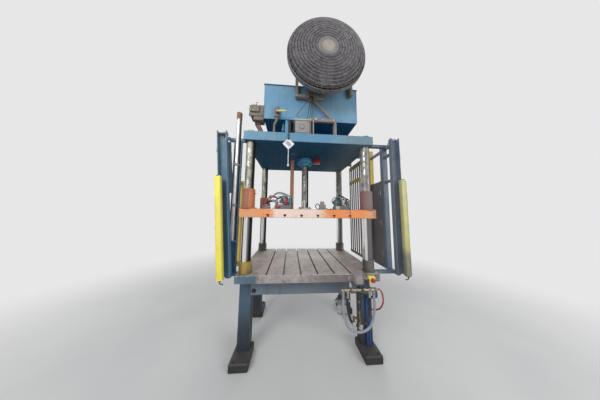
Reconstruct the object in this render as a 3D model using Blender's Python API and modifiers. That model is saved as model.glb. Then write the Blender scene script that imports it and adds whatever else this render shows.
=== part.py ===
# Four-column hydraulic press with a cooling fan on its tank, for Blender 4.5.
# Metres, +Z up. The front of the press faces -Y and its right end is +X.
# Heights below are above the floor. The model's origin is the centre of the bolster's top face.

import math

import bmesh
import bpy
from mathutils import Vector

# Running gap left between pieces that touch, fit or slide.
GAP = 0.0003
# Sides of a round piece.
ROUND = 24
# Bevels on the edges of feet, plates, boxes, curtains and the lever.
FOOT_EDGE = 0.008
PLATE_EDGE = 0.004
BOX_EDGE = 0.005
CURTAIN_EDGE = 0.006
LEVER_EDGE = 0.002

# Bed: two welded end frames, two cross rails and the slotted bolster plate.
FOOT_WIDTH = 0.19
FOOT_LENGTH = 0.26
FOOT_HEIGHT = 0.08
LEG_LENGTH = 0.765
LEG_SIZE = 0.125
LEG_WALL = 0.008
LEG_SPAN_Y = 0.60
RAIL_HEIGHT = 0.20
RAIL_FLANGE = 0.06
RAIL_WALL = 0.010
BOLSTER_THICK = 0.080
BOLSTER_MARGIN_X = 0.080
BOLSTER_MARGIN_Y = 0.085

# Tee slots, the same in the bolster and the platen.
SLOT_PITCH = 0.178
SLOT_COUNT = 6
SLOT_NECK_WIDTH = 0.018
SLOT_NECK_DEPTH = 0.022
SLOT_HEAD_WIDTH = 0.032
SLOT_HEAD_HEIGHT = 0.014
BOLSTER_SLOT_STOP = 0.012

# Columns and what rings them.
COLUMN_SPAN_X = 1.35
COLUMN_SPAN_Y = 0.92
COLUMN_RADIUS = 0.0508
COLUMN_CHAMFER = 0.004
COLUMN_CAP_RADIUS = 0.064
COLUMN_CAP_HEIGHT = 0.020
COLLAR_RADIUS = 0.067
COLLAR_HEIGHT = 0.120
COLLAR_CHAMFER = 0.006
COLLAR_SPLIT = 0.005

# Crown plate.
FRAME_OPENING = 1.430
CROWN_THICK = 0.105
CROWN_MARGIN_X = 0.065
CROWN_MARGIN_Y = 0.080

# Ram: platen, guide bushings, rod and piston. It rests part way down its stroke.
DAYLIGHT = 0.580
PLATEN_THICK = 0.093
PLATEN_MARGIN_X = 0.070
PLATEN_MARGIN_Y = 0.080
PLATEN_COLUMN_CLEARANCE = 0.004
BUSHING_RADIUS = 0.069
BUSHING_HEIGHT = 0.218
BUSHING_CHAMFER = 0.005
ROD_RADIUS = 0.050
ROD_FLANGE_RADIUS = 0.094
ROD_FLANGE_HEIGHT = 0.034
STOP_ROD_RADIUS = 0.024
STOP_ROD_LENGTH = 0.670
STOP_ROD_X = -0.195
STOP_ROD_Y = -0.200
STOP_ROD_CLEARANCE = 0.010

# Cylinder.
BORE_RADIUS = 0.075
BARREL_WALL = 0.020
BARREL_LENGTH = 0.710
BARREL_CAP = 0.050
BARREL_FLANGE_RADIUS = 0.150
BARREL_FLANGE_HEIGHT = 0.035
GLAND_RADIUS = 0.098
GLAND_HEIGHT = 0.066
GLAND_NOSE = 0.018
PISTON_HEIGHT = 0.080
PISTON_LIFT = 0.385
SEAL_GROOVE = 0.004

# Oil tank on the crown, with its cover, legs, drain valve and valve block.
TANK_WIDTH = 1.120
TANK_DEPTH = 0.320
TANK_HEIGHT = 0.430
TANK_WALL = 0.006
TANK_CENTRE_X = 0.020
TANK_SETBACK = 0.060
TANK_LEG_HEIGHT = 0.195
TANK_LEG_SIZE = 0.045
TANK_LEG_SPREAD = 0.620
COVER_THICK = 0.006
COVER_OVERHANG = 0.010
FILLER_RADIUS = 0.035
FILLER_HEIGHT = 0.050
VALVE_INSET = 0.155
VALVE_BODY_RADIUS = 0.024
VALVE_BODY_HEIGHT = 0.110
VALVE_STEM_RADIUS = 0.009
VALVE_STEM_LENGTH = 0.020
LEVER_LENGTH = 0.120
LEVER_WIDTH = 0.020
LEVER_THICK = 0.005
VALVE_BLOCK_SIZE = (0.115, 0.110, 0.150)

# Motor and pump behind the cylinder.
MOTOR_RADIUS = 0.105
MOTOR_LENGTH = 0.360
MOTOR_X = 0.310
MOTOR_Y = 0.330
MOTOR_FOOT = 0.024
PUMP_RADIUS = 0.062
PUMP_LENGTH = 0.170
PIPE_RADIUS = 0.013
PIPE_DROP = 0.060
PIPE_BEND_RADIUS = 0.052
PIPE_LEAD = 0.083
PIPE_END_GAP = 0.001

# Guards beside the columns. Offsets are outward from the crown's end faces.
GUARD_OFFSET = 0.285
GUARD_LEFT_OFFSET = 0.113
GUARD_LEFT_LEAN = math.radians(4.8)
GUARD_SETBACK = 0.040
GUARD_BELOW_BED = 0.035
GUARD_ABOVE_CROWN = 0.005
CHANNEL_WIDTH = 0.100
CHANNEL_DEPTH = 0.050
CHANNEL_WALL = 0.006
INNER_POST_SIZE = 0.060
INNER_POST_SPACING = 0.200
ARM_SPACING = 0.100
ARM_SIZE = 0.036
ARM_BELOW_CROWN_TOP = 0.050
TIE_SIZE = 0.030
MID_RAIL_RISE = 1.045
UPPER_RAIL_DROP = 0.108
LEFT_CHANNEL_OFFSET = 0.098
LEFT_CHANNEL_WIDTH = 0.086
LEFT_CHANNEL_DEPTH = 0.040
TUBE_RADIUS = 0.0285
TUBE_LENGTH = 1.040
TUBE_BELOW_ARM = 0.102
SHELF_THICK = 0.012
CURTAIN_WIDTH = 0.066
CURTAIN_DEPTH = 0.052
CURTAIN_LENGTH = 1.050
SIDE_CURTAIN_LENGTH = 1.180
SIDE_CURTAIN_LEFT_OFFSET = 0.182
SIDE_CURTAIN_LEFT_DROP = 0.095
SIDE_CURTAIN_RIGHT_RISE = 0.425
SIDE_CURTAIN_Y = 0.000
PANEL_THICK = 0.003
PANEL_LIP = 0.022
PANEL_BELOW_BED = 0.025
PANEL_LENGTH = 1.100
SLAT_GUARD_OFFSET = 0.050
SLAT_GUARD_CENTRE_Y = 0.030
SLAT_COUNT = 7
SLAT_PITCH = 0.066
SLAT_WIDTH = 0.034
SLAT_THICK = 0.006
SLAT_GUARD_BELOW_CROWN = 0.025
SLAT_GUARD_LENGTH = 1.370
SLAT_RAIL_HEIGHT = 0.060
SLAT_RAIL_THICK = 0.012
SLAT_HANGER_TOP = 0.063

# Fan on the tank's front. Offsets forward are from its tilting axis.
FAN_X = 0.150
FAN_REACH = 0.065
FAN_RISE = 0.175
FAN_RIM_OFFSET = 0.155
FAN_RADIUS = 0.425
FAN_FRONT_DOME = 0.100
FAN_REAR_DOME = 0.098
FAN_BADGE_RADIUS = 0.095
FAN_SPOKES = 24
FAN_RINGS = 5
FAN_WIRE = 0.006
BADGE_THICK = 0.008
FAN_MOTOR_RADIUS = 0.080
FAN_MOTOR_LENGTH = 0.185
FAN_MOTOR_OFFSET = 0.100
FAN_MOUNT_THICK = 0.008
FAN_PIN_RADIUS = 0.012
BLADE_COUNT = 4
BLADE_RADIUS = 0.355
BLADE_CHORD = 0.150
BLADE_THICK = 0.003
BLADE_BOW = 0.010
BLADE_ROWS = 5
BLADE_ROOT_ANGLE = math.radians(34)
BLADE_TIP_ANGLE = math.radians(20)
HUB_RADIUS = 0.048
HUB_LENGTH = 0.060
HUB_OFFSET = 0.157
SHAFT_RADIUS = 0.011
YOKE_THICK = 0.008
YOKE_WIDTH = 0.044
YOKE_CLEARANCE = 0.014
YOKE_BELOW = 0.150
BRACKET_DEPTH = 0.040
BRACKET_BAR = 0.034
BRACKET_BELOW_TANK_TOP = 0.153
BRACKET_LEFT_X = -0.160
BRACKET_RISE = 0.275
BLOCK_SIZE = (0.095, 0.060, 0.072)
BLOCK_X = 0.010
STRUT_RADIUS = 0.013
STAND_LEFT_X = 0.000
STAND_RIGHT_X = 0.300
STAND_POST = 0.026
STAND_BAR_HEIGHT = 0.045
STAND_HEIGHT = 0.212

# Sign, junction box, controls and air service on the front.
SIGN_SIDE = 0.093
SIGN_THICK = 0.003
SIGN_X = -0.245
SIGN_DROP = 0.032
STRAP_WIDTH = 0.014
STRAP_LENGTH = 0.150
PULL_ROD_RADIUS = 0.004
PULL_ROD_LENGTH = 0.190
PULL_BALL_RADIUS = 0.013
JUNCTION_SIZE = (0.160, 0.090, 0.165)
JUNCTION_X = -0.096
JUNCTION_FRONT_MARGIN = 0.012
CONTROL_PLATE = (0.300, 0.006, 0.030)
CONTROL_PLATE_DROP = 0.004
CONTROL_INSET = 0.215
CONTROL_BOX_SIZE = (0.095, 0.080, 0.110)
CONTROL_BOX_SHIFT = -0.085
CONTROL_RISE = 0.055
STOP_BOX_SIZE = (0.075, 0.062, 0.072)
STOP_BOX_SHIFT = 0.090
STOP_BOX_RISE = 0.002
BUTTON_RADIUS = 0.022
BUTTON_HEAD = 0.014
BUTTON_STEM_RADIUS = 0.009
BUTTON_STEM_LENGTH = 0.020
BUTTON_TRAVEL = 0.006
AIR_PIPE_RADIUS = 0.013
AIR_PIPE_LENGTH = 0.370
AIR_PIPE_INSET = 0.075
AIR_PIPE_REACH = 0.055
AIR_PIPE_DROP = 0.050
AIR_OUTLET_RADIUS = 0.016
AIR_OUTLET_DROP = 0.030
AIR_OUTLET_INSET = 0.020
AIR_PIPE_HANGER = 0.022
AIR_HANGER_RISE = 0.0096
HOSE_RADIUS = 0.012
HOSE_GAP_X = 0.045
HOSE_SPAN = 0.225
HOSE_OUTER_DROP = 0.360
HOSE_INNER_DROP = 0.300
AIR_UNIT_INSET = 0.360
AIR_UNIT_SIZE = (0.130, 0.056, 0.052)
AIR_BOWL_RADIUS = 0.023
AIR_BOWL_LENGTH = 0.105
AIR_UNIT_DROP = 0.045
AIR_HANGER_THICK = 0.006
AIR_BOWL_SINK = 0.003

# Manifolds on the platen.
MANIFOLD_BASE = (0.200, 0.110, 0.055)
MANIFOLD_LEFT_X = -0.300
MANIFOLD_RIGHT_X = 0.440
MANIFOLD_Y = -0.300
MANIFOLD_VALVE = (0.070, 0.080, 0.090)
MANIFOLD_COIL_RADIUS = 0.022
MANIFOLD_COIL_LENGTH = 0.160
MANIFOLD_FITTING_RADIUS = 0.012
MANIFOLD_FITTING_HEIGHT = 0.050
MANIFOLD_SINK = 0.002
MANIFOLD_FITTING_SINK = 0.004

# Heights and places that follow from the sizes above.
bolster_bottom = FOOT_HEIGHT + LEG_LENGTH
bed_top = bolster_bottom + BOLSTER_THICK
platen_bottom = bed_top + DAYLIGHT
platen_top = platen_bottom + PLATEN_THICK
crown_bottom = bed_top + FRAME_OPENING
crown_top = crown_bottom + CROWN_THICK
column_x = COLUMN_SPAN_X / 2
column_y = COLUMN_SPAN_Y / 2
bolster_half_x = column_x + BOLSTER_MARGIN_X
bolster_half_y = column_y + BOLSTER_MARGIN_Y
platen_half_x = column_x + PLATEN_MARGIN_X
platen_half_y = column_y + PLATEN_MARGIN_Y
crown_half_x = column_x + CROWN_MARGIN_X
crown_half_y = column_y + CROWN_MARGIN_Y
leg_x = bolster_half_x - LEG_SIZE / 2
leg_y = LEG_SPAN_Y / 2
rail_bottom = bolster_bottom - RAIL_HEIGHT
bore_radius_in_plates = COLUMN_RADIUS + GAP
tank_front = -crown_half_y + TANK_SETBACK
tank_back = tank_front + TANK_DEPTH
tank_bottom = crown_top + TANK_LEG_HEIGHT
tank_top = tank_bottom + TANK_HEIGHT
barrel_radius = BORE_RADIUS + BARREL_WALL
barrel_top = crown_top + BARREL_LENGTH
piston_bottom = crown_bottom + PISTON_LIFT
guard_y = -crown_half_y + GUARD_SETBACK
guard_base = bed_top - GUARD_BELOW_BED
guard_length = crown_top + GUARD_ABOVE_CROWN - guard_base
post_y = guard_y + INNER_POST_SPACING
arm_y = guard_y + ARM_SPACING
arm_top = crown_top - ARM_BELOW_CROWN_TOP
arm_low = bed_top - ARM_SIZE
mid_rail = bed_top + MID_RAIL_RISE
side_curtain_front = SIDE_CURTAIN_Y - CURTAIN_DEPTH / 2 - GAP
fan_pivot = Vector((FAN_X, tank_front - FAN_REACH, tank_top + FAN_RISE))
control_x = bolster_half_x - CONTROL_INSET
air_pipe_y = -bolster_half_y - AIR_PIPE_REACH
air_pipe_z = bolster_bottom - AIR_PIPE_DROP
air_pipe_right = bolster_half_x - AIR_PIPE_INSET
air_pipe_left = air_pipe_right - AIR_PIPE_LENGTH

# Colour, roughness and metallic value of each finish.
LOOKS = {
    "press_blue": ((0.095, 0.230, 0.360), 0.55, 0.0),
    "deep_blue": ((0.030, 0.085, 0.190), 0.60, 0.0),
    "platen_orange": ((0.700, 0.210, 0.070), 0.55, 0.0),
    "chromed_steel": ((0.640, 0.640, 0.650), 0.15, 1.0),
    "bare_steel": ((0.330, 0.310, 0.290), 0.45, 0.9),
    "foot_grey": ((0.060, 0.060, 0.065), 0.80, 0.0),
    "collar_ochre": ((0.420, 0.300, 0.080), 0.65, 0.0),
    "curtain_yellow": ((0.800, 0.640, 0.040), 0.45, 0.0),
    "guard_grey": ((0.090, 0.085, 0.090), 0.60, 0.0),
    "box_grey": ((0.380, 0.370, 0.350), 0.55, 0.1),
    "fan_grey": ((0.180, 0.170, 0.165), 0.60, 0.3),
    "badge_beige": ((0.360, 0.340, 0.260), 0.60, 0.0),
    "brown_metal": ((0.120, 0.070, 0.050), 0.60, 0.3),
    "sign_white": ((0.800, 0.800, 0.800), 0.40, 0.0),
    "stop_red": ((0.550, 0.030, 0.030), 0.35, 0.0),
    "hose_black": ((0.020, 0.020, 0.022), 0.60, 0.0),
    "hose_grey": ((0.280, 0.320, 0.380), 0.50, 0.0),
    "brass": ((0.600, 0.420, 0.160), 0.35, 1.0),
}

PARTS = "hydraulic_press"
CUTTERS = "cutters"


def clear_scene():
    """Starts from an empty scene, with one collection for the parts and one for the cutters."""
    for obj in list(bpy.data.objects):
        bpy.data.objects.remove(obj, do_unlink=True)
    for name in (PARTS, CUTTERS):
        group = bpy.data.collections.get(name) or bpy.data.collections.new(name)
        if group.name not in bpy.context.scene.collection.children:
            bpy.context.scene.collection.children.link(group)


def finish(look):
    """The Principled material of one finish, made once."""
    made = bpy.data.materials.get(look)
    if made:
        return made
    colour, roughness, metallic = LOOKS[look]
    made = bpy.data.materials.new(look)
    made.use_nodes = True
    shader = made.node_tree.nodes["Principled BSDF"]
    shader.inputs["Base Color"].default_value = (*colour, 1.0)
    shader.inputs["Roughness"].default_value = roughness
    shader.inputs["Metallic"].default_value = metallic
    made.diffuse_color = (*colour, 1.0)
    return made


def empty(name, place, parent=None, lean=0.0):
    """An empty that carries pieces: a joint's axis or a tilted frame."""
    obj = bpy.data.objects.new(name, None)
    obj.location = place
    obj.rotation_euler.y = lean
    obj.parent = parent
    bpy.data.collections[PARTS].objects.link(obj)
    return obj


def add_object(name, data, look, place, parent):
    obj = bpy.data.objects.new(name, data)
    obj.data.materials.append(finish(look))
    obj.location = place
    obj.parent = parent
    bpy.data.collections[PARTS].objects.link(obj)
    return obj


def from_bmesh(name, bm, look, place, parent):
    bmesh.ops.recalc_face_normals(bm, faces=bm.faces)
    mesh = bpy.data.meshes.new(name)
    bm.to_mesh(mesh)
    bm.free()
    return add_object(name, mesh, look, place, parent)


def smooth(obj, angle=math.radians(35)):
    obj.data.shade_smooth()
    obj.data.set_sharp_from_angle(angle=angle)


def bevel(obj, width, segments=1):
    mod = obj.modifiers.new("edges", "BEVEL")
    mod.width = width
    mod.segments = segments
    mod.limit_method = "ANGLE"
    mod.angle_limit = math.radians(40)
    return mod


def block(name, size, centre, look, parent, edge=0.0):
    """A box about its centre, with bevelled edges where edge is given."""
    bm = bmesh.new()
    bmesh.ops.create_cube(bm, size=1.0)
    bmesh.ops.scale(bm, vec=size, verts=bm.verts)
    obj = from_bmesh(name, bm, look, centre, parent)
    if edge:
        bevel(obj, edge)
    return obj


def cylinder(name, radius, length, centre, look, parent, axis="Z", sides=ROUND):
    """A round bar about its centre, along one axis."""
    bm = bmesh.new()
    bmesh.ops.create_cone(bm, cap_ends=True, segments=sides, radius1=radius, radius2=radius, depth=length)
    obj = from_bmesh(name, bm, look, centre, parent)
    if axis == "X":
        obj.rotation_euler.y = math.pi / 2
    elif axis == "Y":
        obj.rotation_euler.x = math.pi / 2
    smooth(obj)
    return obj


def turned(name, profile, place, look, parent, ring=False, sides=ROUND):
    """A turned piece: (radius, height) points down the outside, closed round a bore where ring is set."""
    bm = bmesh.new()
    verts = [bm.verts.new((radius, 0.0, height)) for radius, height in profile]
    for low, high in zip(verts, verts[1:]):
        bm.edges.new((low, high))
    if ring:
        bm.edges.new((verts[-1], verts[0]))
    mesh = bpy.data.meshes.new(name)
    bm.to_mesh(mesh)
    bm.free()
    obj = add_object(name, mesh, look, place, parent)
    mod = obj.modifiers.new("turn", "SCREW")
    mod.axis = "Z"
    mod.steps = sides
    mod.render_steps = sides
    mod.use_merge_vertices = True
    mod.merge_threshold = 0.0001
    mod.use_smooth_shade = False
    return obj


def extruded(name, outline, length, place, look, parent, axis="Z", centred=True):
    """A flat outline pushed along an axis. Outlines are (x, y) for Z, (x, z) for Y and (y, z) for X."""
    bm = bmesh.new()
    start = -length / 2 if centred else 0.0
    corners = {
        "Z": lambda u, v: (u, v, start),
        "Y": lambda u, v: (u, start, v),
        "X": lambda u, v: (start, u, v),
    }[axis]
    face = bm.faces.new([bm.verts.new(corners(u, v)) for u, v in outline])
    pushed = bmesh.ops.extrude_face_region(bm, geom=[face])["geom"]
    step = {"Z": (0, 0, length), "Y": (0, length, 0), "X": (length, 0, 0)}[axis]
    bmesh.ops.translate(bm, vec=step, verts=[v for v in pushed if isinstance(v, bmesh.types.BMVert)])
    return from_bmesh(name, bm, look, place, parent)


def bar(name, start, end, width, height, look, parent):
    """A straight bar of rectangular section between two points."""
    start = Vector(start)
    end = Vector(end)
    run = end - start
    obj = block(name, (run.length, width, height), (start + end) / 2, look, parent)
    obj.rotation_mode = "QUATERNION"
    obj.rotation_quaternion = run.to_track_quat("X", "Z")
    return obj


def round_bar(name, start, end, radius, look, parent, sides=ROUND):
    """A straight round bar between two points."""
    start = Vector(start)
    end = Vector(end)
    run = end - start
    obj = cylinder(name, radius, run.length, (start + end) / 2, look, parent, sides=sides)
    obj.rotation_mode = "QUATERNION"
    obj.rotation_quaternion = run.to_track_quat("Z", "Y")
    return obj


def several(name, makers, look, parent):
    """One mesh of several separate shapes, each made by a function that adds to a bmesh."""
    bm = bmesh.new()
    for maker in makers:
        maker(bm)
    return from_bmesh(name, bm, look, (0, 0, 0), parent)


def drum(radius, length, centre, sides=ROUND):
    """Adds an upright cylinder to a bmesh, for several()."""
    def add(bm):
        made = bmesh.ops.create_cone(
            bm, cap_ends=True, segments=sides, radius1=radius, radius2=radius, depth=length
        )
        bmesh.ops.translate(bm, vec=centre, verts=made["verts"])
    return add


def prism(outline, y_low, y_high):
    """Adds an (x, z) outline pushed along Y to a bmesh, for several()."""
    def add(bm):
        face = bm.faces.new([bm.verts.new((x, y_low, z)) for x, z in outline])
        pushed = bmesh.ops.extrude_face_region(bm, geom=[face])["geom"]
        moved = [v for v in pushed if isinstance(v, bmesh.types.BMVert)]
        bmesh.ops.translate(bm, vec=(0, y_high - y_low, 0), verts=moved)
    return add


def combine(target, operand, operation):
    """Cuts or joins a second shape into a piece, and puts that shape among the cutters."""
    mod = target.modifiers.new(operand.name, "BOOLEAN")
    mod.operation = operation
    mod.solver = "EXACT"
    mod.object = operand
    for group in list(operand.users_collection):
        group.objects.unlink(operand)
    bpy.data.collections[CUTTERS].objects.link(operand)
    operand.display_type = "WIRE"
    operand.hide_render = True


def cut(target, *operands):
    for operand in operands:
        combine(target, operand, "DIFFERENCE")


def weld(target, *operands):
    for operand in operands:
        combine(target, operand, "UNION")


def corners(half_x, half_y):
    """The four corner places of a rectangle, with their names."""
    for depth_name, depth in (("front", -half_y), ("rear", half_y)):
        for side_name, side in (("left", -half_x), ("right", half_x)):
            yield depth_name + "_" + side_name, side, depth


def tee_outline(x, face, inward):
    """A tee slot's section at x, opening at height face and going inward (+1 up, -1 down)."""
    neck = SLOT_NECK_WIDTH / 2
    head = SLOT_HEAD_WIDTH / 2
    mouth = face - inward * SLOT_HEAD_HEIGHT
    shoulder = face + inward * SLOT_NECK_DEPTH
    floor = shoulder + inward * SLOT_HEAD_HEIGHT
    return [
        (x - neck, mouth), (x - neck, shoulder), (x - head, shoulder), (x - head, floor),
        (x + head, floor), (x + head, shoulder), (x + neck, shoulder), (x + neck, mouth),
    ]


def slot_places():
    for index in range(SLOT_COUNT):
        yield (index - (SLOT_COUNT - 1) / 2) * SLOT_PITCH


def cut_tee_slots(plate, front, rear, face, inward, parent):
    """Cuts the slots from y = front to y = rear."""
    makers = [prism(tee_outline(x, face, inward), front, rear) for x in slot_places()]
    cut(plate, several(plate.name + "_slots", makers, "bare_steel", parent))


def cut_column_bores(plate, radius, middle, length, parent):
    makers = [drum(radius, length, (x, y, middle)) for _, x, y in corners(column_x, column_y)]
    cut(plate, several(plate.name + "_bores", makers, "bare_steel", parent))


def make_feet(press):
    for name, x, y in corners(leg_x, leg_y):
        outward = math.copysign(1, y)
        middle = y + outward * (FOOT_LENGTH - LEG_SIZE) / 2
        place = (x, middle, FOOT_HEIGHT / 2)
        block("foot_" + name, (FOOT_WIDTH, FOOT_LENGTH, FOOT_HEIGHT), place, "foot_grey", press, edge=FOOT_EDGE)


def channel_outline(width, depth, wall, opening):
    """A channel's section about its web: the web lies along u, and the flanges reach v = opening * depth."""
    half = width / 2
    inner = half - wall
    tip = opening * depth
    web = opening * wall
    return [
        (-half, 0), (half, 0), (half, tip), (inner, tip), (inner, web), (-inner, web), (-inner, tip), (-half, tip),
    ]


def make_bed_ends(press):
    """Each end frame is two square tube legs and a channel rail, welded into one."""
    leg_bottom = FOOT_HEIGHT + GAP
    leg_height = LEG_LENGTH - 2 * GAP
    for name, side in (("left", -1), ("right", 1)):
        x = side * leg_x
        frame = None
        cores = []
        for y in (-leg_y, leg_y):
            centre = (x, y, leg_bottom + leg_height / 2)
            tube = block(f"leg_{name}_{len(cores)}", (LEG_SIZE, LEG_SIZE, leg_height), centre, "press_blue", press)
            core = (LEG_SIZE - 2 * LEG_WALL, LEG_SIZE - 2 * LEG_WALL, leg_height * 2)
            cores.append(block(f"leg_core_{name}_{len(cores)}", core, centre, "press_blue", press))
            if frame is None:
                frame = tube
                frame.name = "bed_end_" + name
            else:
                weld(frame, tube)
        length = LEG_SPAN_Y - LEG_SIZE + 2 * LEG_WALL
        outline = [
            (v, u) for u, v in channel_outline(RAIL_HEIGHT, RAIL_FLANGE, RAIL_WALL, -side)
        ]
        outer = x + side * LEG_SIZE / 2
        middle = bolster_bottom - GAP - RAIL_HEIGHT / 2
        rail = extruded("rail_" + name, outline, length, (outer, 0, middle), "press_blue", press, axis="Y")
        cut(frame, *cores)
        weld(frame, rail)


def make_bed_rails(press):
    length = 2 * leg_x - LEG_SIZE - 2 * GAP
    middle = bolster_bottom - GAP - RAIL_HEIGHT / 2
    for name, side in (("front", -1), ("rear", 1)):
        outline = [(v, u) for u, v in channel_outline(RAIL_HEIGHT, RAIL_FLANGE, RAIL_WALL, -side)]
        outer = side * (leg_y + LEG_SIZE / 2)
        extruded("bed_rail_" + name, outline, length, (0, outer, middle), "press_blue", press, axis="X")


def make_bolster(press):
    size = (2 * bolster_half_x, 2 * bolster_half_y, BOLSTER_THICK)
    plate = block("bolster_plate", size, (0, 0, bed_top - BOLSTER_THICK / 2), "bare_steel", press, edge=PLATE_EDGE)
    front = -bolster_half_y + BOLSTER_SLOT_STOP
    cut_tee_slots(plate, front, bolster_half_y + SLOT_HEAD_WIDTH, bed_top, -1, press)
    cut_column_bores(plate, bore_radius_in_plates, bed_top - BOLSTER_THICK / 2, BOLSTER_THICK * 2, press)


def make_columns(press):
    """Each column runs from the bolster's underside to a cap that clamps the crown."""
    top = crown_top + GAP + COLUMN_CAP_HEIGHT
    profile = [
        (0, top),
        (COLUMN_CAP_RADIUS - COLUMN_CHAMFER, top),
        (COLUMN_CAP_RADIUS, top - COLUMN_CHAMFER),
        (COLUMN_CAP_RADIUS, crown_top + GAP),
        (COLUMN_RADIUS, crown_top + GAP),
        (COLUMN_RADIUS, bolster_bottom + COLUMN_CHAMFER),
        (COLUMN_RADIUS - COLUMN_CHAMFER, bolster_bottom),
        (0, bolster_bottom),
    ]
    for name, x, y in corners(column_x, column_y):
        turned("column_" + name, profile, (x, y, 0), "chromed_steel", press)


def make_collars(press):
    """Split collars that clamp each column's foot to the bolster."""
    inner = COLUMN_RADIUS + GAP
    bottom = bed_top + GAP
    top = bottom + COLLAR_HEIGHT
    profile = [
        (COLLAR_RADIUS - COLLAR_CHAMFER, top),
        (COLLAR_RADIUS, top - COLLAR_CHAMFER),
        (COLLAR_RADIUS, bottom),
        (inner, bottom),
        (inner, top),
    ]
    for name, x, y in corners(column_x, column_y):
        collar = turned("collar_" + name, profile, (x, y, 0), "collar_ochre", press, ring=True)
        inward = -math.copysign(1, x)
        reach = COLLAR_RADIUS * 2 - inner
        centre = (x + inward * (inner + reach) / 2, y, (bottom + top) / 2)
        split = block("split_" + name, (reach, COLLAR_SPLIT, COLLAR_HEIGHT * 1.5), centre, "collar_ochre", press)
        cut(collar, split)


def make_crown(press):
    size = (2 * crown_half_x, 2 * crown_half_y, CROWN_THICK)
    middle = (crown_bottom + crown_top) / 2
    plate = block("crown", size, (0, 0, middle), "press_blue", press, edge=PLATE_EDGE)
    cut_column_bores(plate, bore_radius_in_plates, middle, CROWN_THICK * 2, press)
    holes = [
        drum(barrel_radius + GAP, CROWN_THICK * 2, (0, 0, middle)),
        drum(STOP_ROD_RADIUS + STOP_ROD_CLEARANCE, CROWN_THICK * 2, (STOP_ROD_X, STOP_ROD_Y, middle)),
    ]
    cut(plate, several("crown_holes", holes, "press_blue", press))


def make_cylinder(press):
    """The barrel stands on the crown by its flange, and its spigot passes down through the crown."""
    seat = crown_top + GAP
    bore_top = barrel_top - BARREL_CAP
    mouth = crown_bottom + GAP
    profile = [
        (0, barrel_top),
        (barrel_radius - COLUMN_CHAMFER, barrel_top),
        (barrel_radius, barrel_top - COLUMN_CHAMFER),
        (barrel_radius, seat + BARREL_FLANGE_HEIGHT),
        (BARREL_FLANGE_RADIUS, seat + BARREL_FLANGE_HEIGHT),
        (BARREL_FLANGE_RADIUS, seat),
        (barrel_radius, seat),
        (barrel_radius, mouth),
        (BORE_RADIUS, mouth),
        (BORE_RADIUS, bore_top),
        (0, bore_top),
    ]
    turned("cylinder_barrel", profile, (0, 0, 0), "press_blue", press)
    top = crown_bottom - GAP
    bottom = top - GLAND_HEIGHT
    inner = ROD_RADIUS + GAP
    nose = BORE_RADIUS - GAP
    gland = [
        (nose, top + GLAND_NOSE),
        (nose, top),
        (GLAND_RADIUS, top),
        (GLAND_RADIUS, bottom + COLLAR_CHAMFER),
        (GLAND_RADIUS - COLLAR_CHAMFER, bottom),
        (inner, bottom),
        (inner, top + GLAND_NOSE),
    ]
    turned("cylinder_gland", gland, (0, 0, 0), "press_blue", press, ring=True)


def make_tank(press):
    """A welded sheet tank, open at the top, on four angle legs, with a loose cover and filler neck."""
    middle_y = (tank_front + tank_back) / 2
    centre = (TANK_CENTRE_X, middle_y, tank_bottom + TANK_HEIGHT / 2)
    body = block("tank_body", (TANK_WIDTH, TANK_DEPTH, TANK_HEIGHT), centre, "press_blue", press)
    hollow = (TANK_WIDTH - 2 * TANK_WALL, TANK_DEPTH - 2 * TANK_WALL, TANK_HEIGHT)
    inside = block("tank_hollow", hollow, (centre[0], centre[1], centre[2] + TANK_WALL), "press_blue", press)
    cut(body, inside)
    length = TANK_LEG_HEIGHT + TANK_WALL / 2 - GAP
    for side in (-1, 1):
        for depth in (-1, 1):
            thick = TANK_WALL
            size = TANK_LEG_SIZE
            outline = [
                (0, 0), (-side * size, 0), (-side * size, -depth * thick),
                (-side * thick, -depth * thick), (-side * thick, -depth * size), (0, -depth * size),
            ]
            x = TANK_CENTRE_X + side * TANK_LEG_SPREAD / 2
            y = middle_y + depth * (TANK_DEPTH / 2 - thick)
            name = f"tank_leg_{side}_{depth}"
            place = (x, y, crown_top + GAP)
            weld(body, extruded(name, outline, length, place, "press_blue", press, centred=False))
    cover_size = (TANK_WIDTH + 2 * COVER_OVERHANG, TANK_DEPTH + 2 * COVER_OVERHANG, COVER_THICK)
    cover_middle = tank_top + GAP + COVER_THICK / 2
    cover = block("tank_cover", cover_size, (TANK_CENTRE_X, middle_y, cover_middle), "press_blue", press)
    neck_x = TANK_CENTRE_X - TANK_WIDTH / 3
    neck_middle = cover_middle + FILLER_HEIGHT / 2
    weld(cover, cylinder("filler", FILLER_RADIUS, FILLER_HEIGHT, (neck_x, middle_y, neck_middle), "press_blue", press))


def make_valve_block(press):
    """Directional valves on the tank's left end."""
    wide, deep, high = VALVE_BLOCK_SIZE
    end = TANK_CENTRE_X - TANK_WIDTH / 2
    x = end - GAP - wide / 2
    y = tank_front + deep / 2
    z = tank_bottom + high / 2 + deep / 2
    body = block("valve_block", VALVE_BLOCK_SIZE, (x, y, z), "box_grey", press, edge=BOX_EDGE)
    for index in (-1, 1):
        place = (x + index * wide / 4, y, z + high / 2)
        weld(body, cylinder(f"plug_{index}", wide / 8, high / 3, place, "box_grey", press, sides=12))
        place = (x + index * wide / 4, y, z - high / 2)
        weld(body, cylinder(f"port_{index}", wide / 10, high / 3, place, "box_grey", press, sides=12))


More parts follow.
